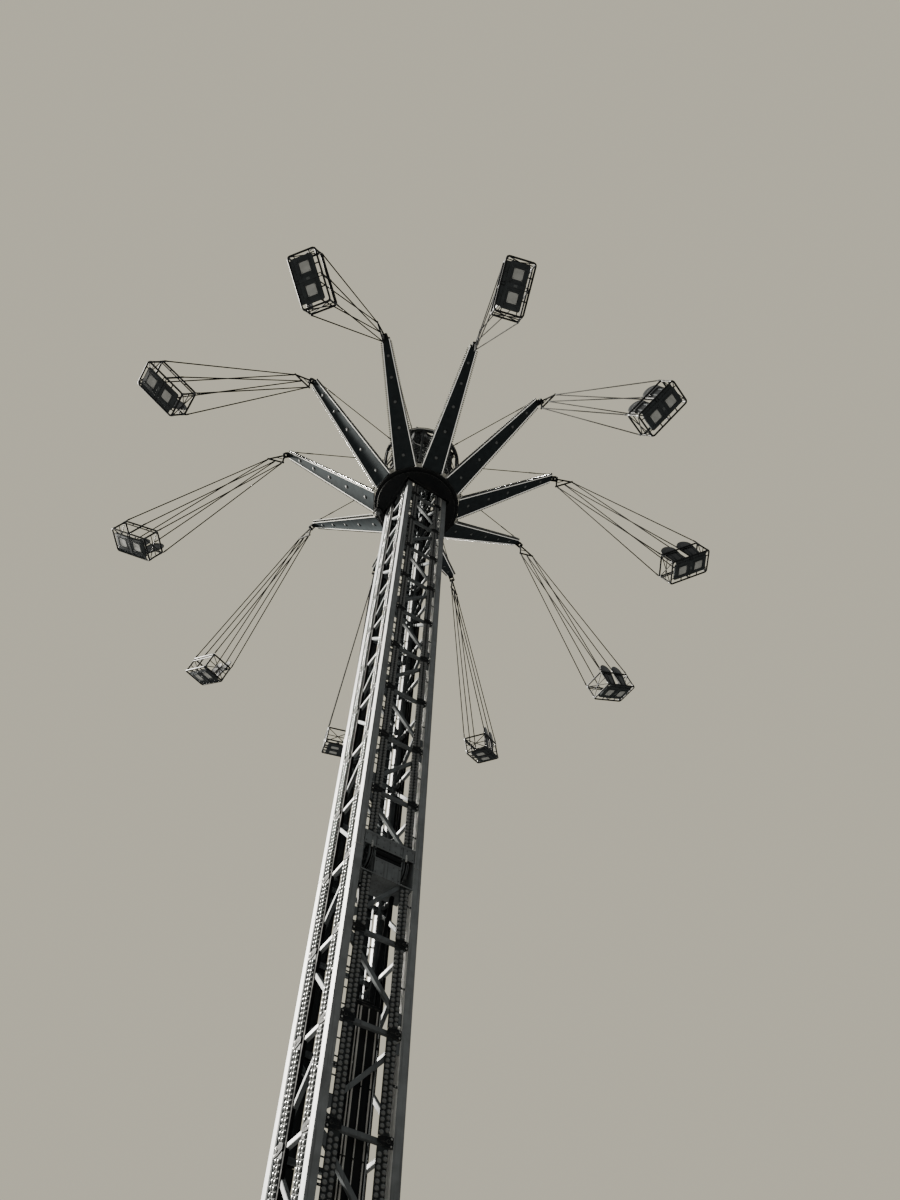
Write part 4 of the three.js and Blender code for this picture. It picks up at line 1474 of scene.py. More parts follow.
    def mast(self) -> Sketch:
        """Draws the hoist mast, its cables, its saddle, its guide rods and the two links to the sheave beam.

        Returns:
            The sketch.
        """
        part, half, top = Sketch(Coat.BLACK), self.mast_half, self.mast_top
        near, far, foot = self.mast_front, self.mast_front + self.mast_depth, SIZES.base_height + TOUCH
        neck, y = top - 0.10, (near + far) / 2
        part.box((-half, near, foot), (half, far, neck), BROAD)
        for height in np.arange(1.0, top - 0.3, self.mast_pitch):
            part.box((-half, near - 0.005, height), (half, near + 0.01, height + 0.05))
            part.stamp(bolt_head(0.026), [upright(x, near - 0.005, height + 0.025) @ STAND for x in (-0.16, 0.16)])
        for x, radius in self.cables:
            part.tube([(x, near - 0.022, z) for z in (foot, top - 0.14)], radius, 10, Coat.FITTING)
            for height in np.arange(0.7, top - 0.4, self.mast_pitch):
                part.box((x - 0.024, near - 0.042, height), (x + 0.024, near + 0.002, height + 0.018), FINE)
        part.box((-half, near - 0.010, neck), (half, far, top - 0.04), BROAD)
        saddle = [(-0.19, -0.02), (0.19, -0.02)]
        saddle += [(0.17 * x, 0.055 * z + 0.005) for x, z in on_arc(1.0, 5.73, 174.27, 9)]
        part.prism(saddle, self.mast_depth * 0.8, upright(0, y, top - 0.03) @ STAND, SOFT)
        for side in SIDES:
            part.box((side * (half - 0.05), near - 0.006, foot), (side * half, near + 0.01, neck))
            link, end, rod, stay = (side * x for x in (*self.link, self.rod, self.rod_stay))
            part.beam((link, y, top - 0.070), (end, y, self.beam_low - 0.001), 0.070, 0.070, ROUND)
            part.tube([(link + dx, y, top - 0.02) for dx in (-0.05, 0.05)], 0.028, 14, Coat.ZINC)
            part.tube([(rod, near + 0.05, z) for z in (foot, top - 0.12)], 0.020, 14, Coat.CHROME)
            for height in self.rod_levels:
                part.box((side * half, near + 0.02, height), (stay, near + 0.08, height + 0.04))
        return part

    def ropes(self, side: int) -> Sketch:
        """Draws one rope from its socket at the head, over and under the wheels, to its socket in the beam.

        Args:
            side: -1 for the left rope and 1 for the right one.

        Returns:
            The sketch.
        """
        part, x = Sketch(Coat.WIRE), side * self.spread
        over, under = self.rope_line + self.head_radius, self.rope_line - self.beam_radius
        first = (x, over + self.head_radius, SIZES.tower_top + 0.13)
        last = (x, under - self.beam_radius, self.beam_high - self.brow + 0.06)
        part.tube([first, *arc((x, over, self.head_axle), self.head_radius, 0, 180, 19),
                   *arc((x, under, self.beam_axle), self.beam_radius, 0, -180, 19), last], self.rope / 2, 10)
        for (_, y, z), drop in ((first, 0.07), (last, 0.10)):
            part.lathe([(0.016, 0), (0.024, 0.01), (0.024, 0.12), (0.015, 0.16)], upright(x, y, z - drop), 14,
                       Coat.ZINC)
        return part

    def build(self, fitter: Fitter) -> None:
        """Builds the hoist.

        Args:
            fitter: What puts pieces in place.
        """
        for name, part, node in (("head_frame", self.head(), "tower_head"),
                                 ("sheave_box", self.beam(), "sheave_beam"),
                                 ("hoist_column", self.mast(), "hoist_mast")):
            fitter.make(part, name, "tower", [node])
        for side, word in zip(SIDES, ("left", "right")):
            fitter.make(self.ropes(side), f"lifting_rope_{word}", "tower", [f"hoist_rope_{word}"])


# The carriage and what turns on it


def drum(inner: float, outer: float, low: float, high: float, flange: tuple[float, float], cut: float,
         edges: Sequence[float]) -> Sketch:
    """A ring with a flange at the top and the bottom of its outer face.

    Args:
        inner: Its inner radius.
        outer: Its outer radius.
        low: The height of its underside.
        high: The height of its top.
        flange: How high and how deep each flange is.
        cut: The width of the chamfers.
        edges: The edge mark of each band, from the underside outward.

    Returns:
        The sketch.
    """
    rise, web = flange[0], outer - flange[1]
    profile = [(inner + cut, low), (outer - cut, low), (outer, low + cut), (outer, low + rise),
               (web, low + rise + 0.002), (web, high - rise - 0.002), (outer, high - rise), (outer, high - cut),
               (outer - cut, high), (inner + cut, high), (inner, high - cut), (inner, low + cut), (inner + cut, low)]
    return Sketch(Coat.BLACK).lathe(profile, ORIGIN, 120, edges=edges, ends=Ends.NONE)


@dataclass
class Carriage:
    """The sleeve round the tower with its guide wheels, its slewing collar and the drive."""

    inner: float = 0.712
    outer: float = 0.778
    low: float = 27.200
    high: float = 30.800
    post: float = 0.230
    windows: tuple[float, float, float, float] = (27.920, 29.120, 29.280, 30.480)
    bolt_pitch: float = 0.30
    wheel_radius: float = 0.110
    wheel_width: float = 0.090
    wheel_gap: float = 0.0005
    cheek: float = 0.020
    collar_radius: float = 1.140
    collar_wall: float = 0.020
    lip_radius: float = 1.240
    lip_low: float = 27.2095
    lip_high: float = 27.2995
    bolt_line: float = 1.195
    collar_high: float = 27.670
    sides: int = 96
    drive_angle: float = math.radians(141)
    drive_radius: float = 1.210
    drive_case: float = 0.120

    def sleeve(self) -> Sketch:
        """Draws one quarter of the sleeve and turns it round: corner post, bands, rods and guide wheels.

        Returns:
            The sketch.
        """
        quarter = Sketch(Coat.BLACK)
        out, inn, open_half = self.outer, self.inner, self.outer - self.post
        quarter.box((-out, -out, self.low), (-open_half, -inn, self.high), SOFT)
        quarter.box((open_half, -out, self.low), (inn + 0.001, -inn, self.high), SOFT)
        bands = (self.low, *self.windows, self.high)
        for low, high in zip(bands[::2], bands[1::2]):
            quarter.box((-open_half - 0.004, -out + 0.003, low + 0.001), (open_half + 0.004, -inn, high - 0.001))
        for low, high in ((self.low, self.low + 0.03), (self.high - 0.05, self.high)):
            quarter.box((-out, -out - 0.004, low), (out, -inn, high))
        for low, high in zip(self.windows[::2], self.windows[1::2]):
            for side in SIDES:
                x = side * (open_half - 0.004)
                quarter.beam((x, -out + 0.022, low), (-x, -out + 0.022, high), 0.036, 0.012, THIN)
        heads = [upright(side * x, -out, z) @ STAND for side in SIDES for x in (0.600, 0.735)
                 for z in np.arange(self.low + 0.65, self.high - 0.2, self.bolt_pitch)]
        quarter.stamp(bolt_head(0.024, Coat.BRACE), heads)
        self.guide(quarter)
        return Sketch(Coat.BLACK).stamp(quarter, around(4))

    def guide(self, part: Sketch) -> None:
        """Draws the pair of guide wheels at one corner.

        Args:
            part: The sketch that is added to.
        """
        radius, half, plate = self.wheel_radius, self.wheel_width / 2, self.cheek
        centre, face = SIZES.tower_half - SIZES.leg / 2, SIZES.tower_half + self.wheel_gap + radius
        height, clear = self.high + radius + 0.060, SIZES.tower_half + 0.012
        low, top, far = self.high - plate, height + plate, face + plate
        tyre = [(0.075, -half), (radius - 0.008, -half), (radius, -half + 0.010)]
        hub = [(0.0, -half + 0.004), (0.040, -half + 0.002), (0.050, -half + 0.014), (0.070, -half + 0.014),
               (0.076, -half)]
        wheel = Sketch(Coat.RUBBER).lathe(tyre + flipped(tyre), ORIGIN, 32, ends=Ends.NONE)
        for profile in (hub, flipped(hub)):
            wheel.lathe(profile, ORIGIN, 24, Coat.BRACE, ends=Ends.NONE)
        for swap in (False, True):
            def at(x: float, y: float, z: float) -> Vector:
                """A point at the front of the corner, or the one that matches it at the side."""
                return Vector((y, x, z) if swap else (x, y, z))

            middle, axis = at(centre, face, height), at(1, 0, 0)
            part.stamp(wheel, [facing(middle, axis)])
            for side in SIDES:
                cheek = centre + side * (half + 0.0005)
                part.box(at(cheek, clear, low), at(cheek + side * plate, far, top))
                part.stamp(bolt_head(0.036, Coat.BRACE),
                           [facing(middle + axis * side * (half + plate + 0.0005), axis * side)])
            part.box(at(centre + half, clear, low), at(far, far, low + 0.05))

    def collar(self) -> Sketch:
        """Draws the collar: the underside disc with its bolt circle and ribs, and the wall.

        Returns:
            The sketch.
        """
        part, hole = Sketch(Coat.BLACK), self.outer + TOUCH
        outer, base, high = self.collar_radius, self.lip_high, self.collar_high
        inner, cut = outer - self.collar_wall, 0.003
        self.holed_disc(part, self.lip_low, base, self.lip_radius, hole)
        self.holed_disc(part, base - 0.001, base + 0.02, outer, hole)
        part.lathe([(inner, base), (inner, high - cut), (inner + cut, high), (outer - cut, high), (outer, high - cut),
                    (outer, base)], ORIGIN, self.sides, ends=Ends.NONE)
        part.stamp(bolt_head(0.036, Coat.BLACK),
                   [turn @ upright(self.bolt_line, 0, self.lip_low) @ DOWN for turn in around(48, 3)])
        rib = Sketch(Coat.BLACK).box((0.80, -0.008, base), (inner + 0.002, 0.008, high - 0.06), FINE)
        part.stamp(rib, around(4))
        low, top = self.lip_low - 0.008, self.lip_low + 0.01
        for side in SIDES:
            edge = side * (hole + 0.015)
            part.box((-hole - 0.03, edge - 0.014, low), (hole + 0.03, edge + 0.014, top), FINE)
            part.box((edge - 0.014, -hole, low), (edge + 0.014, hole, top), FINE)
        return part

    def holed_disc(self, part: Sketch, low: float, high: float, radius: float, hole: float) -> None:
        """Draws a round plate with a square hole.

        Args:
            part: The sketch that is added to.
            low: The height of its underside.
            high: The height of its top.
            radius: Its radius.
            hole: Half the hole's width.
        """
        ring = round_outline(self.sides)
        square = ring * (hole / np.abs(ring).max(1, keepdims=True))
        loops = [lifted(shape, height, ORIGIN) for shape, height in
                 ((square, low), (ring * (radius - 0.006), low), (ring * radius, low + 0.006),
                  (ring * radius, high - 0.003), (ring * (radius - 0.003), high), (square, high), (square, low))]
        part.rings(loops, ends=Ends.NONE, edges=[0, 1, 0, 1, 0, 0], smooth=False)

    def drive(self) -> Sketch:
        """Draws the slewing drive: a gear case and a finned motor below it.

        Returns:
            The sketch.
        """
        part, case, body, fin = Sketch(Coat.BLACK), self.drive_case, self.drive_case * 0.60, self.drive_case * 0.66
        top = self.lip_low - TOUCH
        flange, foot, neck = top - case, top - 2 * case, case * 0.90
        middle = turned(self.drive_angle) @ upright(self.drive_radius, 0, 0)
        part.lathe([(case * 0.94, flange), (case, flange + 0.006), (case, top - 0.050), (neck, top - 0.048),
                    (neck, top - 0.022), (case, top - 0.020), (case, top)], middle, 36, edges=[1, 0, 0, 0, 0, 0])
        part.lathe([(case * 0.42, foot), (case * 0.56, foot + 0.010), (body, foot + 0.020), (body, flange + 0.002)],
                   middle, 28, Coat.DRIVE)
        for z in foot + 0.030 + 0.016 * np.arange(5):
            part.lathe([(body, z), (fin, z + 0.001), (fin, z + 0.005), (body, z + 0.006)], middle, 28, Coat.DRIVE,
                       ends=Ends.NONE)
        bolts = [middle @ turn @ upright(case * 0.80, 0, flange) @ DOWN for turn in around(10)]
        return part.stamp(bolt_head(0.020, Coat.BRACE), bolts)

    def build(self, fitter: Fitter) -> None:
        """Builds the carriage.

        Args:
            fitter: What puts pieces in place.
        """
        for name, part, node in (("climbing_sleeve", self.sleeve(), "carriage_sleeve"),
                                 ("slewing_collar", self.collar(), "slew_collar"),
                                 ("slewing_motor", self.drive(), "slew_drive")):
            fitter.make(part, name, "carriage", [node])


@dataclass
class Rotor:
    """The turning ring, the cage on it and the ten arms."""

    bolt_lines: tuple[float, float] = (1.300, 1.295)  # at the underside, and on top
    cage_radius: float = 1.250
    cage_bar: float = 0.070
    cage_top: float = 30.560
    cage_ring: float = 0.140
    cage_reach: float = 0.055
    cage_rod: float = 0.013
    foot_half: float = 0.065
    foot_thick: float = 0.016
    root: tuple[float, float, float] = (1.3503, 27.320, 0.160)  # distance from the axis, underside, depth
    tip: tuple[float, float, float] = (4.560, 30.215, 0.130)
    root_half: float = 0.345
    tip_half: float = 0.122
    panel_root: float = 0.312
    panel_tip: float = 0.092
    lip: float = 0.022
    web: float = 0.016
    joints: tuple[float, float] = (0.34, 0.67)
    lamp_shares: tuple[float, ...] = (0.10, 0.31, 0.51, 0.70, 0.87)
    fork_radius: float = 0.046
    fork_back: float = -0.280
    post_back: float = 4.440
    stay: float = 0.015
    stay_height: float = 30.490
    bulb_pitch: float = 0.071
    bulb_radius: float = 0.022
    bulb_height: float = 0.070

    def ring(self) -> Sketch:
        """Draws the ring with its flanges, its bolt circles and the small lugs between the arms.

        Returns:
            The sketch.
        """
        low, high, outer = SIZES.ring_bottom, SIZES.ring_top, SIZES.ring_outer
        part = drum(SIZES.ring_inner, outer, low, high, (0.040, 0.018), 0.006, [0, 1, 0, 1, 0, 0, 0, 1, 0, 1, 0, 0])
        below, above = self.bolt_lines
        part.stamp(bolt_head(0.036, Coat.BLACK), [turn @ upright(below, 0, low) @ DOWN for turn in around(60)])
        part.stamp(bolt_head(0.036, Coat.BLACK), [turn @ upright(above, 0, high) for turn in around(60, 3)])
        lug, back = Sketch(Coat.EDGE), outer - 0.022
        cheek = [(back, low + 0.03), (outer + 0.060, low + 0.05), (outer + 0.135, low + 0.13),
                 (outer + 0.135, low + 0.20), (outer + 0.060, low + 0.27), (back, low + 0.29)]
        for side in SIDES:
            lug.prism(cheek, 0.016, upright(0, side * 0.078, 0) @ STAND, FINE)
        lug.tube([(outer + 0.092, y, low + 0.165) for y in (-0.105, 0.105)], 0.019, 12, Coat.BLACK)
        lug.box((outer - 0.018, -0.120, low + 0.020), (outer - 0.004, 0.120, low + 0.300), FINE)
        lug.box((outer - 0.004, -0.072, low + 0.150), (outer + 0.070, 0.072, low + 0.164), FINE)
        return part.stamp(lug, SIZES.between_arms())

    def cage(self) -> Sketch:
        """Draws the cage: posts with foot plates, crossed rods, a middle hoop and the upper ring.

        Returns:
            The sketch.
        """
        radius, reach, half = self.cage_radius, self.cage_reach, self.cage_bar / 2
        low, top, foot = self.cage_top - self.cage_ring, self.cage_top, SIZES.ring_top + TOUCH
        part = drum(radius - reach, radius + reach, low, top, (0.020, 0.014), 0.004,
                    [0, 1, 0, 0, 0, 0, 0, 1, 0, 1, 0, 1])
        web = radius + reach - 0.014
        part.lathe([(web - 0.002, low + 0.024), (web + 0.002, low + 0.024), (web + 0.002, top - 0.024),
                    (web - 0.002, top - 0.024), (web - 0.002, low + 0.024)], ORIGIN, 120, Coat.FITTING,
                   [1, 1, 1, 1], ends=Ends.NONE)
        post, plate, thick = Sketch(Coat.BLACK), self.foot_half, foot + self.foot_thick
        post.box((radius - half, -half, foot), (radius + half, half, low + 0.002), SOFT)
        post.box((radius - plate, -plate, foot), (radius + plate, plate, thick), FINE)
        post.stamp(bolt_head(0.024, Coat.BRACE),
                   [upright(radius + dx, dy, thick) for dx in (-0.05, 0.05) for dy in (-0.05, 0.05)])
        turns = SIZES.between_arms()
        part.stamp(post, turns)
        middle = (foot + low) / 2
        for turn, after in zip(turns, turns[1:] + turns[:1]):
            for first, second in ((turn, after), (after, turn)):
                for bottom, upper in ((foot + 0.10, middle - 0.05), (middle + 0.05, low - 0.06)):
                    part.tube([first @ Vector((radius, 0, bottom)), second @ Vector((radius, 0, upper))],
                              self.cage_rod, 8)
            part.beam(turn @ Vector((radius, 0, middle)), after @ Vector((radius, 0, middle)), 0.050, 0.050, FULL)
        return part

    def station(self, share: float) -> tuple[float, float, float, float, float]:
        """An arm's section at a share of its length.

        Args:
            share: From 0 at the root to 1 at the tip.

        Returns:
            Distance from the axis, underside height, depth, half width and half width of the dark panel.
        """
        near = np.array((*self.root, self.root_half, self.panel_root))
        far = np.array((*self.tip, self.tip_half, self.panel_tip))
        r, z, depth, half, panel = (near + (far - near) * share).tolist()
        return r, z, depth * math.hypot(1, (far[1] - near[1]) / (far[0] - near[0])), half, panel

    def arm_loop(self, share: float) -> np.ndarray:
        """One closed section of the arm's box, with the dark panel set into its underside.

        Args:
            share: From 0 at the root to 1 at the tip.

        Returns:
            The section's points, one row each, from the left edge of the underside to the right.
        """
        r, z, depth, half, panel = self.station(share)
        top, lip, web = z + depth, self.lip, half - self.web
        bend = lip + 0.004
        wall = [(half, z), (half, z + lip), (web, z + bend), (web, top - bend), (half, top - lip), (half, top)]
        outline = [(-half, z), (-panel - 0.010, z), (-panel, z + 0.010), (panel, z + 0.010), (panel + 0.010, z),
                   *wall, *((-y, height) for y, height in reversed(wall[1:]))]
        return np.array([(r, y, height) for y, height in outline])

    def arm_body(self) -> Sketch:
        """Draws one arm along X: box, underside panel with lamps, fork, pin, stay post and stay.

        Returns:
            The sketch.
        """
        part = Sketch(Coat.EDGE)
        part.rings([self.arm_loop(share) for share in (0.0, *self.joints, 1.0)])
        # Columns 0 and 4, the underside strips beside the dark panel, take the glowing finish: painted light that
        # keeps them bright in shade
        looks = {column: look for columns, look in ((range(16), (Coat.EDGE, 0.25)), ((1, 2, 3), (Coat.ARM, 0.0)),
                                                    ((0, 4), (Coat.EDGE_PAINTED_LIGHT, 0.0)),
                                                    ((6, 7, 8, 12, 13, 14), (Coat.BLACK, 0.1)))
                 for column in columns}
        skins = []
        for corners, _, edge, soft in part.faces:
            if len(corners) == len(looks):
                skins += [(corners[[column]], coat, mark, False) for column, (coat, mark) in looks.items()]
            else:
                skins.append((corners, Coat.ARM, edge, soft))
        part.faces = skins
        r, z, depth, half, _ = self.station(0.0)
        part.box((r - 0.0002, -half, z + 0.01), (r + 0.022, half, z + depth - 0.01), FINE, Coat.ARM)
        self.lamps(part)
        self.fork(part)
        self.stay_parts(part)
        self.seams(part)
        return part

    def seams(self, part: Sketch) -> None:
        """Draws the joint plates and their bolts where the arm's sections meet.

        Args:
            part: The sketch that is added to.
        """
        for share in self.joints:
            r, z, depth, half, _ = self.station(share)
            face, top = half - 0.009, z + depth
            for side in SIDES:
                part.box((r - 0.05, side * (face - 0.008), z + 0.085), (r + 0.05, side * face, top - 0.030), FINE,
                         Coat.BLACK)
                heads = [facing((r + dx, side * face, top - 0.060), (0, side, 0)) for dx in (-0.030, 0.030)]
                part.stamp(bolt_head(0.018, Coat.BRACE), heads)

    def lamps(self, part: Sketch) -> None:
        """Draws the round lamps along the middle of the underside.

        Args:
            part: The sketch that is added to.
        """
        near, far = self.root, self.tip
        along = Vector((far[0] - near[0], 0, far[1] - near[1])).normalized()
        below = Vector((along.z, 0, -along.x))
        lamp = Sketch(Coat.LENS)
        lamp.lathe([(0.062, -0.006), (0.062, 0.010), (0.056, 0.014), (0.048, 0.012)], ORIGIN, 20, Coat.BLACK,
                   [0, 1, 0], ends=Ends.NONE)
        lamp.lathe([(0.048, 0.008), (0.036, 0.018), (0.018, 0.024), (0.0, 0.026)], ORIGIN, 20, ends=Ends.NONE)
        for share in self.lamp_shares:
            r, z, _, _, panel = self.station(share)
            place = facing(Vector((r, 0, z)) - below * 0.010, below)
            part.stamp(lamp, [place @ Matrix.Scale(min(1.0, panel / 0.085), 4)])

    def fork(self, part: Sketch) -> None:
        """Draws the fork at the arm's tip with its pin.

        Args:
            part: The sketch that is added to.
        """
        place, back = SIZES.pivot_place(), self.fork_back
        cheek = [(back, 0.050), *on_arc(self.fork_radius, -100, 80, 9), (-0.030, 0.111), (back, 0.111)]
        for side in SIDES:
            part.prism(cheek, 0.024, place @ upright(0, side * 0.0675, 0) @ STAND, FINE, Coat.BLACK)
            part.stamp(bolt_head(0.044, Coat.BRACE), [place @ facing((0, side * 0.0800, 0), (0, side, 0))])
        part.tube([place @ Vector((0, side * 0.088, 0)) for side in SIDES], 0.020, 20, Coat.BRACE)
        part.box((-0.150, -0.056, 0.053), (-0.060, 0.056, 0.108), FINE, Coat.BLACK, place)

    def stay_parts(self, part: Sketch) -> None:
        """Draws the cap on the arm's tip, the stay's post, and the stay with its end fittings.

        Args:
            part: The sketch that is added to.
        """
        r, z, depth, half, _ = self.station(1.0)
        part.box((r - 0.012, -half + 0.002, z + 0.002), (r + 0.004, half - 0.002, z + depth - 0.002), FINE, Coat.ARM)
        top, back, front = self.stay_height, self.post_back, self.post_back + 0.120
        part.prism([(back, z + 0.01), (front, z + 0.01), (front, top - 0.01), (front - 0.030, top + 0.034),
                    (back + 0.030, top + 0.034), (back, top - 0.01)], 0.034, STAND, FINE, Coat.BLACK)
        start = self.cage_radius + self.cage_reach + 0.0006
        part.tube([(start + 0.16, 0, top), (4.30, 0, top)], self.stay, 10, Coat.CABLE)
        for x, length in ((start, 0.20), (back + 0.02, -0.20)):
            reach = abs(length)
            part.lathe([(0.017, 0), (0.017, reach * 0.45), (0.024, reach * 0.5), (0.024, reach * 0.8), (0.012, reach)],
                       facing((x, 0, top), (length, 0, 0)), 14, Coat.BLACK, [0, 0, 1, 0])
        part.lathe([(0.012, 0), (0.020, 0.02), (0.020, 0.24), (0.012, 0.26)], facing((3.75, 0, top), Axis.X.value),
                   12, Coat.BLACK)

    def arm_bulbs(self) -> Sketch:
        """Draws the row of bulbs along both lower edges of one arm, on their rails.

        Returns:
            The sketch.
        """
        part, places = Sketch(Coat.BLACK), []
        length = math.hypot(self.tip[0] - self.root[0], self.tip[1] - self.root[1])
        for side in SIDES:
            rail = []
            for share in (0.02, 0.985):
                r, z, _, half, _ = self.station(share)
                a, b = sorted((side * (half - 0.020), side * (half - 0.002)))
                rail.append(np.array([(r, a, z + 0.022), (r, b, z + 0.022), (r, b, z + 0.078), (r, a, z + 0.078)]))
            part.rings(rail, smooth=False)
            for share in np.linspace(0.03, 0.975, round(0.945 * length / self.bulb_pitch) + 1):
                r, z, _, half, _ = self.station(share)
                places.append(facing((r, side * (half - 0.004), z + 0.036), (-0.06, side, -0.22)))
        return part.stamp(bulb_cap(self.bulb_radius, self.bulb_height, Coat.CAP_ARM), places)

    def build(self, fitter: Fitter) -> None:
        """Builds the ring, the cage and the arms.

        Args:
            fitter: What puts pieces in place.
        """
        fitter.make(self.ring(), "ring_drum", "rotor", ["turning_ring"])
        fitter.make(self.cage(), "stay_cage", "rotor", ["turning_cage"])
        body, bulbs = self.arm_body().mesh("arm_box"), self.arm_bulbs().mesh("arm_bulbs")
        for number, turn in enumerate(SIZES.arm_turns(), 1):
            fitter.fit(body, f"arm_box_{number:02d}", "rotor", [f"arm_{number:02d}"], turn)
            fitter.fit(bulbs, f"arm_bulbs_{number:02d}", "rotor", (), turn)


# The hangers and the gondolas, each in its pivot's own frame, hanging straight


def rounded_loop(half_x: float, half_y: float, height: float, radius: float, steps: int = 4,
                 middle: tuple[float, float] = (0.0, 0.0)) -> np.ndarray:
    """A level rectangle with round corners.

    Args:
        half_x: Half its size along X.
        half_y: Half its size along Y.
        height: Its height.
        radius: The corners' radius.
        steps: How many points each corner has.
        middle: Where its middle is.

    Returns:
        The points, once round, one row each.
    """
    points = []
    for sx, sy, start in ((1, 1, 0), (-1, 1, 90), (-1, -1, 180), (1, -1, 270)):
        centre = (middle[0] + sx * (half_x - radius), middle[1] + sy * (half_y - radius))
        points += [(x, y, height) for x, y in on_arc(radius, start, start + 90, steps, centre)]
    return np.array(points)


@dataclass
class Gondola:
    """A two-seat gondola: tube frame, pan, two shells, belts, rope ears and the front bar."""

    half_x: float = 0.670
    half_y: float = 0.370
    low: float = -6.870
    high: float = -6.370
    tube: float = 0.025
    rod: float = 0.013
    bar: float = 0.017
    bar_drop: float = 0.085
    corner_inset: float = 0.0205
    corner_round: float = 0.07
    pan: tuple[float, float, float] = (0.580, 0.260, 0.060)
    pan_low: float = -6.900
    pan_round: float = 0.05
    pad_round: float = 0.06
    seat_at: float = 0.290
    panel: tuple[float, float] = (0.132, 0.126)
    shell_width: float = 0.500
    shell_height: float = 0.880
    shell_depth: float = 0.050
    shell_centre: tuple[float, float] = (0.0, 0.46)
    lean: float = 0.120
    waist: float = 0.800
    belt_half: float = 0.225
    belt_width: float = 0.048
    belt_thick: float = 0.004

    def frame(self) -> Sketch:
        """Draws the tube frame with its crossed ends, its rope ears, its front bar and the corner sleeves.

        Returns:
            The sketch.
        """
        part, r, low, high = Sketch(Coat.FRAME), self.tube, self.low, self.high
        x1, y1, cut, seat = self.half_x, self.half_y, self.corner_inset, self.seat_at
        for height in (low, high):
            part.tube(rounded_loop(x1, y1, height, self.corner_round, 5), r, closed=True)
        for side in SIDES:
            for x in (-x1 + cut, 0, x1 - cut):
                part.tube([(x, side * (y1 - cut), z) for z in (low, high)], r)
        front, drop = y1 - 0.012, high - self.bar_drop
        part.tube([(x, front, drop) for x in (-x1 + 0.03, x1 - 0.03)], self.bar)
        for x in (-seat, seat):
            part.tube([(x, y, low) for y in (-y1, y1)], self.bar)
            part.tube([(x, front, z) for z in (high, drop)], 0.012, 8)
        middle, inner = (low + high) / 2, y1 - 0.03
        for side in SIDES:
            x = side * x1
            part.tube([(x, y, middle) for y in (-inner, inner)], self.rod, 10)
            for lean in SIDES:
                part.tube([(x, -lean * inner, low + 0.03), (x, lean * inner, high - 0.03)], self.rod, 10)
                part.tube([(side * (self.pan[0] - 0.01), lean * 0.20, low), (x, lean * 0.20, low)], 0.014, 8)
                part.tube([(side * 0.04, lean * y, low) for y in (y1, 0.25)], 0.012, 8)
        ear = [(-0.034, 0.0), (0.034, 0.0), (0.026, 0.040), (0.012, 0.056), (-0.012, 0.056), (-0.026, 0.040)]
        for x in (-x1 + 0.02, 0, x1 - 0.02):
            for y in (0.004 - y1, y1 - 0.004):
                part.prism(ear, 0.010, upright(x, y, high + 0.012) @ STAND, THIN, Coat.FRAME_LIGHT)
                part.tube([(x, y + dy, high + 0.048) for dy in (-0.018, 0.018)], 0.008, 8, Coat.ZINC)
        sleeve = [(r + 0.004, -0.045), (r + 0.006, -0.040), (r + 0.006, 0.040), (r + 0.004, 0.045)]
        for x in (cut - x1, x1 - cut):
            for y in (cut - y1, y1 - cut):
                for height in (low + 0.05, high - 0.05):
                    part.lathe(sleeve, upright(x, y, height), 12, Coat.FRAME_LIGHT)
        return part

    def pan_part(self) -> Sketch:
        """Draws the pan: tray with a rolled edge, ribs, the lighter panels below and the pads above.

        Returns:
            The sketch.
        """
        part = Sketch(Coat.PAN)
        hx, hy, thick = self.pan
        low, high = self.pan_low, self.pan_low + thick
        part.rings([rounded_loop(hx - shrink, hy - shrink, height, self.pan_round) for shrink, height in
                    ((0.020, low + 0.004), (0.004, low + 0.010), (0.0, low + 0.022), (0.0, high - 0.010),
                     (0.006, high), (0.022, high))], edges=[0, 1, 0, 1, 0])
        half_x, half_y = self.panel
        # The pad's loops by half width, half depth and rise
        pad = ((0.235, 0.215, -0.004), (0.242, 0.222, 0.012), (0.232, 0.212, 0.034), (0.190, 0.170, 0.042),
               (0.100, 0.085, 0.034))
        for x in (-self.seat_at, self.seat_at):
            part.box((x - half_x, -half_y, low - 0.006), (x + half_x, half_y, low + 0.006), coat=Coat.PANEL)
            for side in SIDES:
                across_y, along_x = side * (half_y + 0.030), x + side * (half_x + 0.030)
                part.box((x - 0.22, across_y - 0.012, low - 0.012), (x + 0.22, across_y + 0.012, low + 0.006), FINE)
                part.box((along_x - 0.012, -0.20, low - 0.012), (along_x + 0.012, 0.20, low + 0.006), FINE)
            bolts = [upright(x + dx * (half_x - 0.02), dy * (half_y - 0.02), low - 0.006) @ DOWN
                     for dx in SIDES for dy in SIDES]
            part.stamp(bolt_head(0.014, Coat.BRACE), bolts)
            part.rings([rounded_loop(wide, deep, high + rise, self.pad_round, middle=(x, 0.01))
                        for wide, deep, rise in pad], Coat.SEAT, Ends.LAST)
        part.box((-0.045, -hy + 0.02, low - 0.020), (0.045, hy - 0.02, low + 0.004))
        back = -self.half_y + 0.012
        part.box((-hx + 0.03, back, low + 0.030), (hx - 0.03, -hy + 0.020, low + 0.046))
        for x in (-hx + 0.04, -self.seat_at, 0.0, self.seat_at, hx - 0.04):
            part.box((x - 0.012, back + 0.002, low + 0.014), (x + 0.012, -hy + 0.020, low + 0.034), FINE)
        part.box((-0.030, -0.045, low - 0.030), (0.030, 0.045, low - 0.016), FINE, Coat.BRACE)
        return part

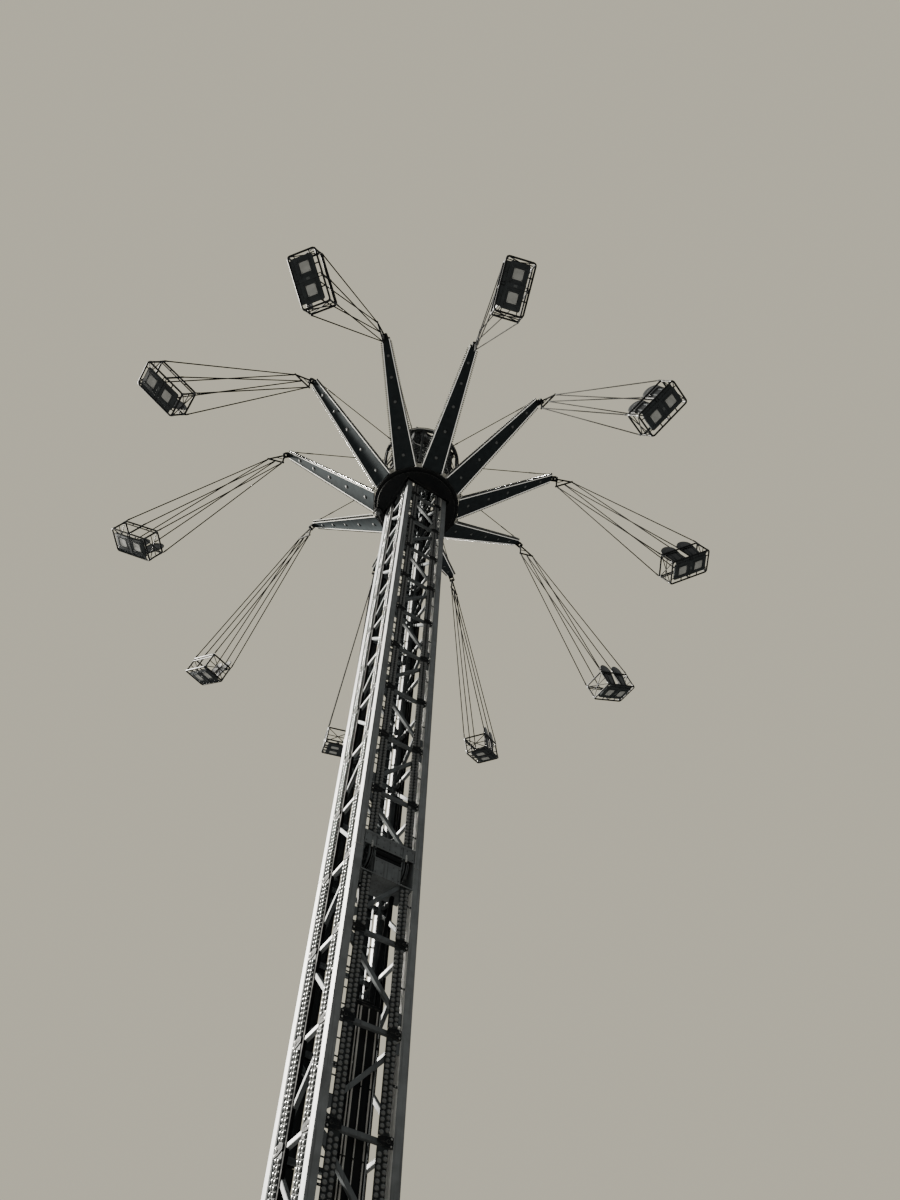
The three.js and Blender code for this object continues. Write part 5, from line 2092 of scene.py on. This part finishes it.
    def shell(self, x: float) -> Sketch:
        """Draws one oval seat back: dished front with a pad, rounded rim, and the panel behind with its straps.

        Args:
            x: The seat's place along the gondola.

        Returns:
            The sketch.
        """
        part, t, wide = Sketch(Coat.SEAT), self.shell_depth, self.shell_width / 2
        outline = on_arc(wide * self.waist, 180, 360, 15, (0.0, wide))
        outline += on_arc(wide, 0, 180, 17, (0.0, self.shell_height - wide))
        flat, centre = np.array(outline), np.array(self.shell_centre)
        turn = Matrix.Rotation(math.pi / 2 + self.lean, 4, "X")
        place = upright(x, -self.pan[1] + t, self.pan_low) @ turn
        # Each skin's loops by their share of the outline and their depth: back and rim, pad, panel
        for loops, ends, edges in (
                (((0.06, 0.034), (0.45, 0.031), (0.74, 0.022), (0.90, 0.008), (0.965, 0.001), (0.995, 0.006),
                  (1.0, 0.016), (0.995, 0.028), (0.93, 0.040), (0.80, 0.046), (0.66, t), (0.10, t)),
                 Ends.BOTH, [0, 0, 0, 0, 0.6, 1, 0.6, 0, 0, 0, 0]),
                (((0.10, 0.026), (0.40, 0.020), (0.62, 0.014), (0.68, 0.024)), Ends.NONE, ()),
                (((0.64, t - 0.002), (0.63, t + 0.004), (0.60, t + 0.006), (0.08, t + 0.006)), Ends.LAST, [0, 1, 0])):
            part.rings([lifted(centre + (flat - centre) * share, depth, place) for share, depth in loops],
                       ends=ends, edges=edges)
        spots = ((-0.11, 0.30), (0.11, 0.30), (-0.13, 0.62), (0.13, 0.62))
        part.stamp(bolt_head(0.016, Coat.BRACE), [place @ upright(u, v, t + 0.006) for u, v in spots])
        for u in (-0.10, 0.10):
            part.box((u - 0.018, 0.0, t - 0.004), (u + 0.018, 0.46, t + 0.012), coat=Coat.PAN, place=place)
        return part

    def belt(self, x: float) -> Sketch:
        """Draws one fastened lap belt with its buckle.

        Args:
            x: The seat's place along the gondola.

        Returns:
            The sketch.
        """
        part, high = Sketch(Coat.RUBBER), self.pan_low + self.pan[2]
        half_size = (0, self.belt_width / 2, self.belt_thick / 2)
        section = np.array([(0, 1, 1), (0, -1, 1), (0, -1, -1), (0, 1, -1)]) * half_size
        loops = []
        for share in np.linspace(-1, 1, 15):
            rise = math.sqrt(max(1 - share ** 4, 0))
            middle = (x + self.belt_half * share, -0.085 + 0.05 * (1 - share * share), high + 0.03 + 0.085 * rise)
            loops.append(np.array(middle) + section)
        part.rings(loops)
        return part.box((x - 0.034, -0.070, high + 0.106), (x + 0.034, 0.000, high + 0.124), FULL, Coat.BRACE)

    def seats(self) -> Sketch:
        """Draws the pan with both seats and belts.

        Returns:
            The sketch.
        """
        part = self.pan_part()
        for x in (-self.seat_at, self.seat_at):
            part.stamp(self.shell(x), [ORIGIN])
            part.stamp(self.belt(x), [ORIGIN])
        return part


@dataclass
class Hanger:
    """What a gondola hangs on: the eye on the arm's pin, the spreader and six wire ropes."""

    drop: float = 0.450
    half: float = 0.310
    bar: float = 0.044
    tube: float = 0.028
    rope: float = 0.017
    eye: float = 0.046
    eye_half: float = 0.055
    hole: float = 0.0215
    foot: float = -6.412
    cut: float = -6.322
    spread: tuple[float, float] = (0.670, 0.370)

    def steel(self) -> Sketch:
        """Draws the eye, its two legs, the spreader and the rope lugs.

        Returns:
            The sketch.
        """
        part, half, r, cut, drop = Sketch(Coat.BLACK), self.eye_half, self.eye, 0.004, self.drop
        part.lathe([(self.hole, -half), (r - cut, -half), (r, -half + cut), (r, half - cut), (r - cut, half),
                    (self.hole, half), (self.hole, -half)], facing((0, 0, 0), Axis.Y.value), 28,
                   edges=[0, 1, 0, 1, 0, 0], ends=Ends.NONE)
        for side in SIDES:
            part.beam((side * r * 0.55, 0, -r * 0.55), (side * self.half, 0, -drop), 0.040, 0.050, FULL)
            part.lathe([(0.024, 0), (0.032, 0.004), (0.032, 0.030), (0.024, 0.034)],
                       facing((side * (self.half + 0.012), 0, -drop), (side, 0, 0)), 14, edges=[1, 0, 1])
        part.tube([(side * (self.half + self.bar), 0, -drop) for side in SIDES], self.tube, 14)
        part.beam((-0.15, 0, -0.235), (0.15, 0, -0.235), 0.012, 0.036, FINE)
        lug = [(-0.030, 0.0), (-0.022, -0.044), (0.0, -0.056), (0.022, -0.044), (0.030, 0.0)]
        for x in (-self.half, 0, self.half):
            part.prism(lug, 0.012, upright(x, 0, -drop - 0.012) @ STAND, THIN)
            part.tube([(x, y, -drop - 0.045) for y in (-0.020, 0.020)], 0.008, 10, Coat.BRACE)
        return part

    def ropes(self) -> Sketch:
        """Draws the six ropes with a swaged end and a shackle at both ends.

        Returns:
            The sketch.
        """
        part, (reach_x, reach_y) = Sketch(Coat.WIRE), self.spread
        swage = [(0.010, 0.020), (0.022, 0.026), (0.022, 0.120), (0.0165, 0.150)]
        shackle = Sketch(Coat.BLACK).lathe(swage, ORIGIN, 12, edges=[0, 0, 0.5])
        for side in SIDES:
            shackle.box((side * 0.007, -0.011, -0.016), (side * 0.012, 0.011, 0.034), THIN)
        for x in (-1, 0, 1):
            for y in SIDES:
                top, low = Vector((x * self.half, 0, -self.drop)), Vector((x * reach_x, y * reach_y, self.foot))
                along = (low - top).normalized()
                first, last = top + along * 0.052, top + along * ((self.cut - top.z) / along.z)
                part.tube([first + along * 0.04, last - along * 0.04], self.rope, 10)
                part.stamp(shackle, [facing(first, along), facing(last, -along)])
        return part


@dataclass
class Swings:
    """The ten gondolas on their hangers."""

    gondola: Gondola = field(default_factory=Gondola)
    hanger: Hanger = field(default_factory=Hanger)

    def build(self, fitter: Fitter) -> None:
        """Builds the hangers and gondolas, all from shared meshes.

        Args:
            fitter: What puts pieces in place.
        """
        frame, seats = self.gondola.frame().mesh("gondola_frame"), self.gondola.seats().mesh("gondola_seats")
        steel, ropes = self.hanger.steel().mesh("hanger_steel"), self.hanger.ropes().mesh("hanger_ropes")
        for number, turn in enumerate(SIZES.arm_turns(), 1):
            body, place = f"swing_{number:02d}", SIZES.flung(turn)
            fitter.fit(steel, f"hanger_steel_{number:02d}", body, [f"hanger_{number:02d}"], place)
            fitter.fit(ropes, f"wire_ropes_{number:02d}", body, (), place)
            fitter.fit(frame, f"gondola_frame_{number:02d}", body, [f"gondola_{number:02d}"], place)
            fitter.fit(seats, f"gondola_seats_{number:02d}", body, (), place)


# The stage: floor, light and camera


@dataclass
class Studio:
    """A pale floor, soft light and the camera at the photograph's place."""

    camera_place: tuple[float, float, float] = (-5.904, -12.267, 1.6)
    azimuth: float = math.radians(59.12)
    elevation: float = math.radians(56.37)
    roll: float = math.radians(2.80)
    focal_share: float = 905.0 / 1200.0
    sensor: float = 36.0
    floor_half: float = 60.0
    floor_seen: Colour = (0.55, 0.54, 0.5)
    floor_bounce: Colour = (0.06, 0.06, 0.058)
    floor_roughness: float = 0.9
    sky: Colour = (0.55, 0.518, 0.41)
    high_light: Colour = (0.34, 0.35, 0.34)
    low_light: Colour = (0.07, 0.075, 0.078)
    horizon: tuple[float, float] = (-0.15, 0.6)  # where the low light starts to turn into the high one, and ends
    key_from: tuple[float, float, float] = (-0.63, 0.62, 0.47)
    key_strength: float = 34.0
    key_spread: float = 12.0  # degrees
    key_colour: Colour = (1.0, 0.96, 0.88)

    def build(self) -> None:
        """Sets up the floor, the light and the camera."""
        self.floor()
        self.light()
        self.camera()

    def floor(self) -> None:
        """A plain pale floor, which isn't part of the ride."""
        half = self.floor_half
        mesh = bpy.data.meshes.new("floor")
        corners = [(-half, -half, 0), (half, -half, 0), (half, half, 0), (-half, half, 0)]
        mesh.from_pydata(corners, [], [(0, 1, 2, 3)])
        paint = bpy.data.materials.new("floor_matt")
        paint.use_nodes = True
        c = Canvas(paint.node_tree)
        surface = c.node("ShaderNodeBsdfPrincipled")
        seen = c.node("ShaderNodeLightPath").outputs["Is Camera Ray"]
        c.feed(surface.inputs["Base Color"], c.mix(seen, rgba(self.floor_bounce), rgba(self.floor_seen)))
        surface.inputs["Roughness"].default_value = self.floor_roughness
        end = c.node("ShaderNodeOutputMaterial")
        c.feed(end.inputs["Surface"], surface.outputs["BSDF"])
        mesh.materials.append(paint)
        piece = bpy.data.objects.new("floor", mesh)
        bpy.context.scene.collection.objects.link(piece)

    def light(self) -> None:
        """A pale sky, brighter above than below, and a soft key from the back left."""
        world = bpy.data.worlds.new("pale_sky")
        world.use_nodes = True
        c = Canvas(world.node_tree)
        seen = c.node("ShaderNodeLightPath").outputs["Is Camera Ray"]
        height = c.node("ShaderNodeSeparateXYZ")
        c.feed(height.inputs[0], c.node("ShaderNodeTexCoord").outputs["Generated"])
        lit = c.mix(c.spread(height.outputs["Z"], *self.horizon), rgba(self.low_light), rgba(self.high_light))
        backdrop = c.node("ShaderNodeBackground")
        c.feed(backdrop.inputs["Color"], c.mix(seen, lit, rgba(self.sky)))
        end = c.node("ShaderNodeOutputWorld")
        c.feed(end.inputs["Surface"], backdrop.outputs["Background"])
        bpy.context.scene.world = world
        key = bpy.data.lights.new("key", "SUN")
        key.energy = self.key_strength
        key.angle = math.radians(self.key_spread)
        key.color = self.key_colour
        lamp = bpy.data.objects.new("key", key)
        lamp.rotation_mode = "QUATERNION"
        lamp.rotation_quaternion = Vector(self.key_from).to_track_quat("Z", "Y")
        bpy.context.scene.collection.objects.link(lamp)

    def camera(self) -> None:
        """The camera, low at the front left and looking up."""
        ahead = Vector((math.cos(self.elevation) * math.cos(self.azimuth),
                        math.cos(self.elevation) * math.sin(self.azimuth), math.sin(self.elevation)))
        right = ahead.cross(Axis.Z.vector).normalized()
        up = right.cross(ahead)
        c, s = math.cos(self.roll), math.sin(self.roll)
        right, up = c * right + s * up, -s * right + c * up
        data = bpy.data.cameras.new("camera")
        data.sensor_fit = "VERTICAL"
        data.sensor_height = self.sensor
        data.lens = self.sensor * self.focal_share
        data.clip_end = 500.0
        eye = bpy.data.objects.new("camera", data)
        eye.matrix_world = (Matrix.Translation(self.camera_place)
                            @ Matrix((right, up, -ahead)).transposed().to_4x4())
        bpy.context.scene.collection.objects.link(eye)
        bpy.context.scene.camera = eye


def main() -> None:
    """Builds the ride in order, from the ground up, and reports each piece."""
    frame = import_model()
    Studio().build()
    fitter = Fitter()
    for assembly in (Tower(), Hoist(), Carriage(), Rotor(), Swings()):
        before = fitter.made
        assembly.build(fitter)
        LOG.info("%s: %d pieces", type(assembly).__name__, fitter.made - before)


if __name__ == "__main__":
    logging.basicConfig(level=logging.INFO, format="%(name)s: %(message)s")
    main()
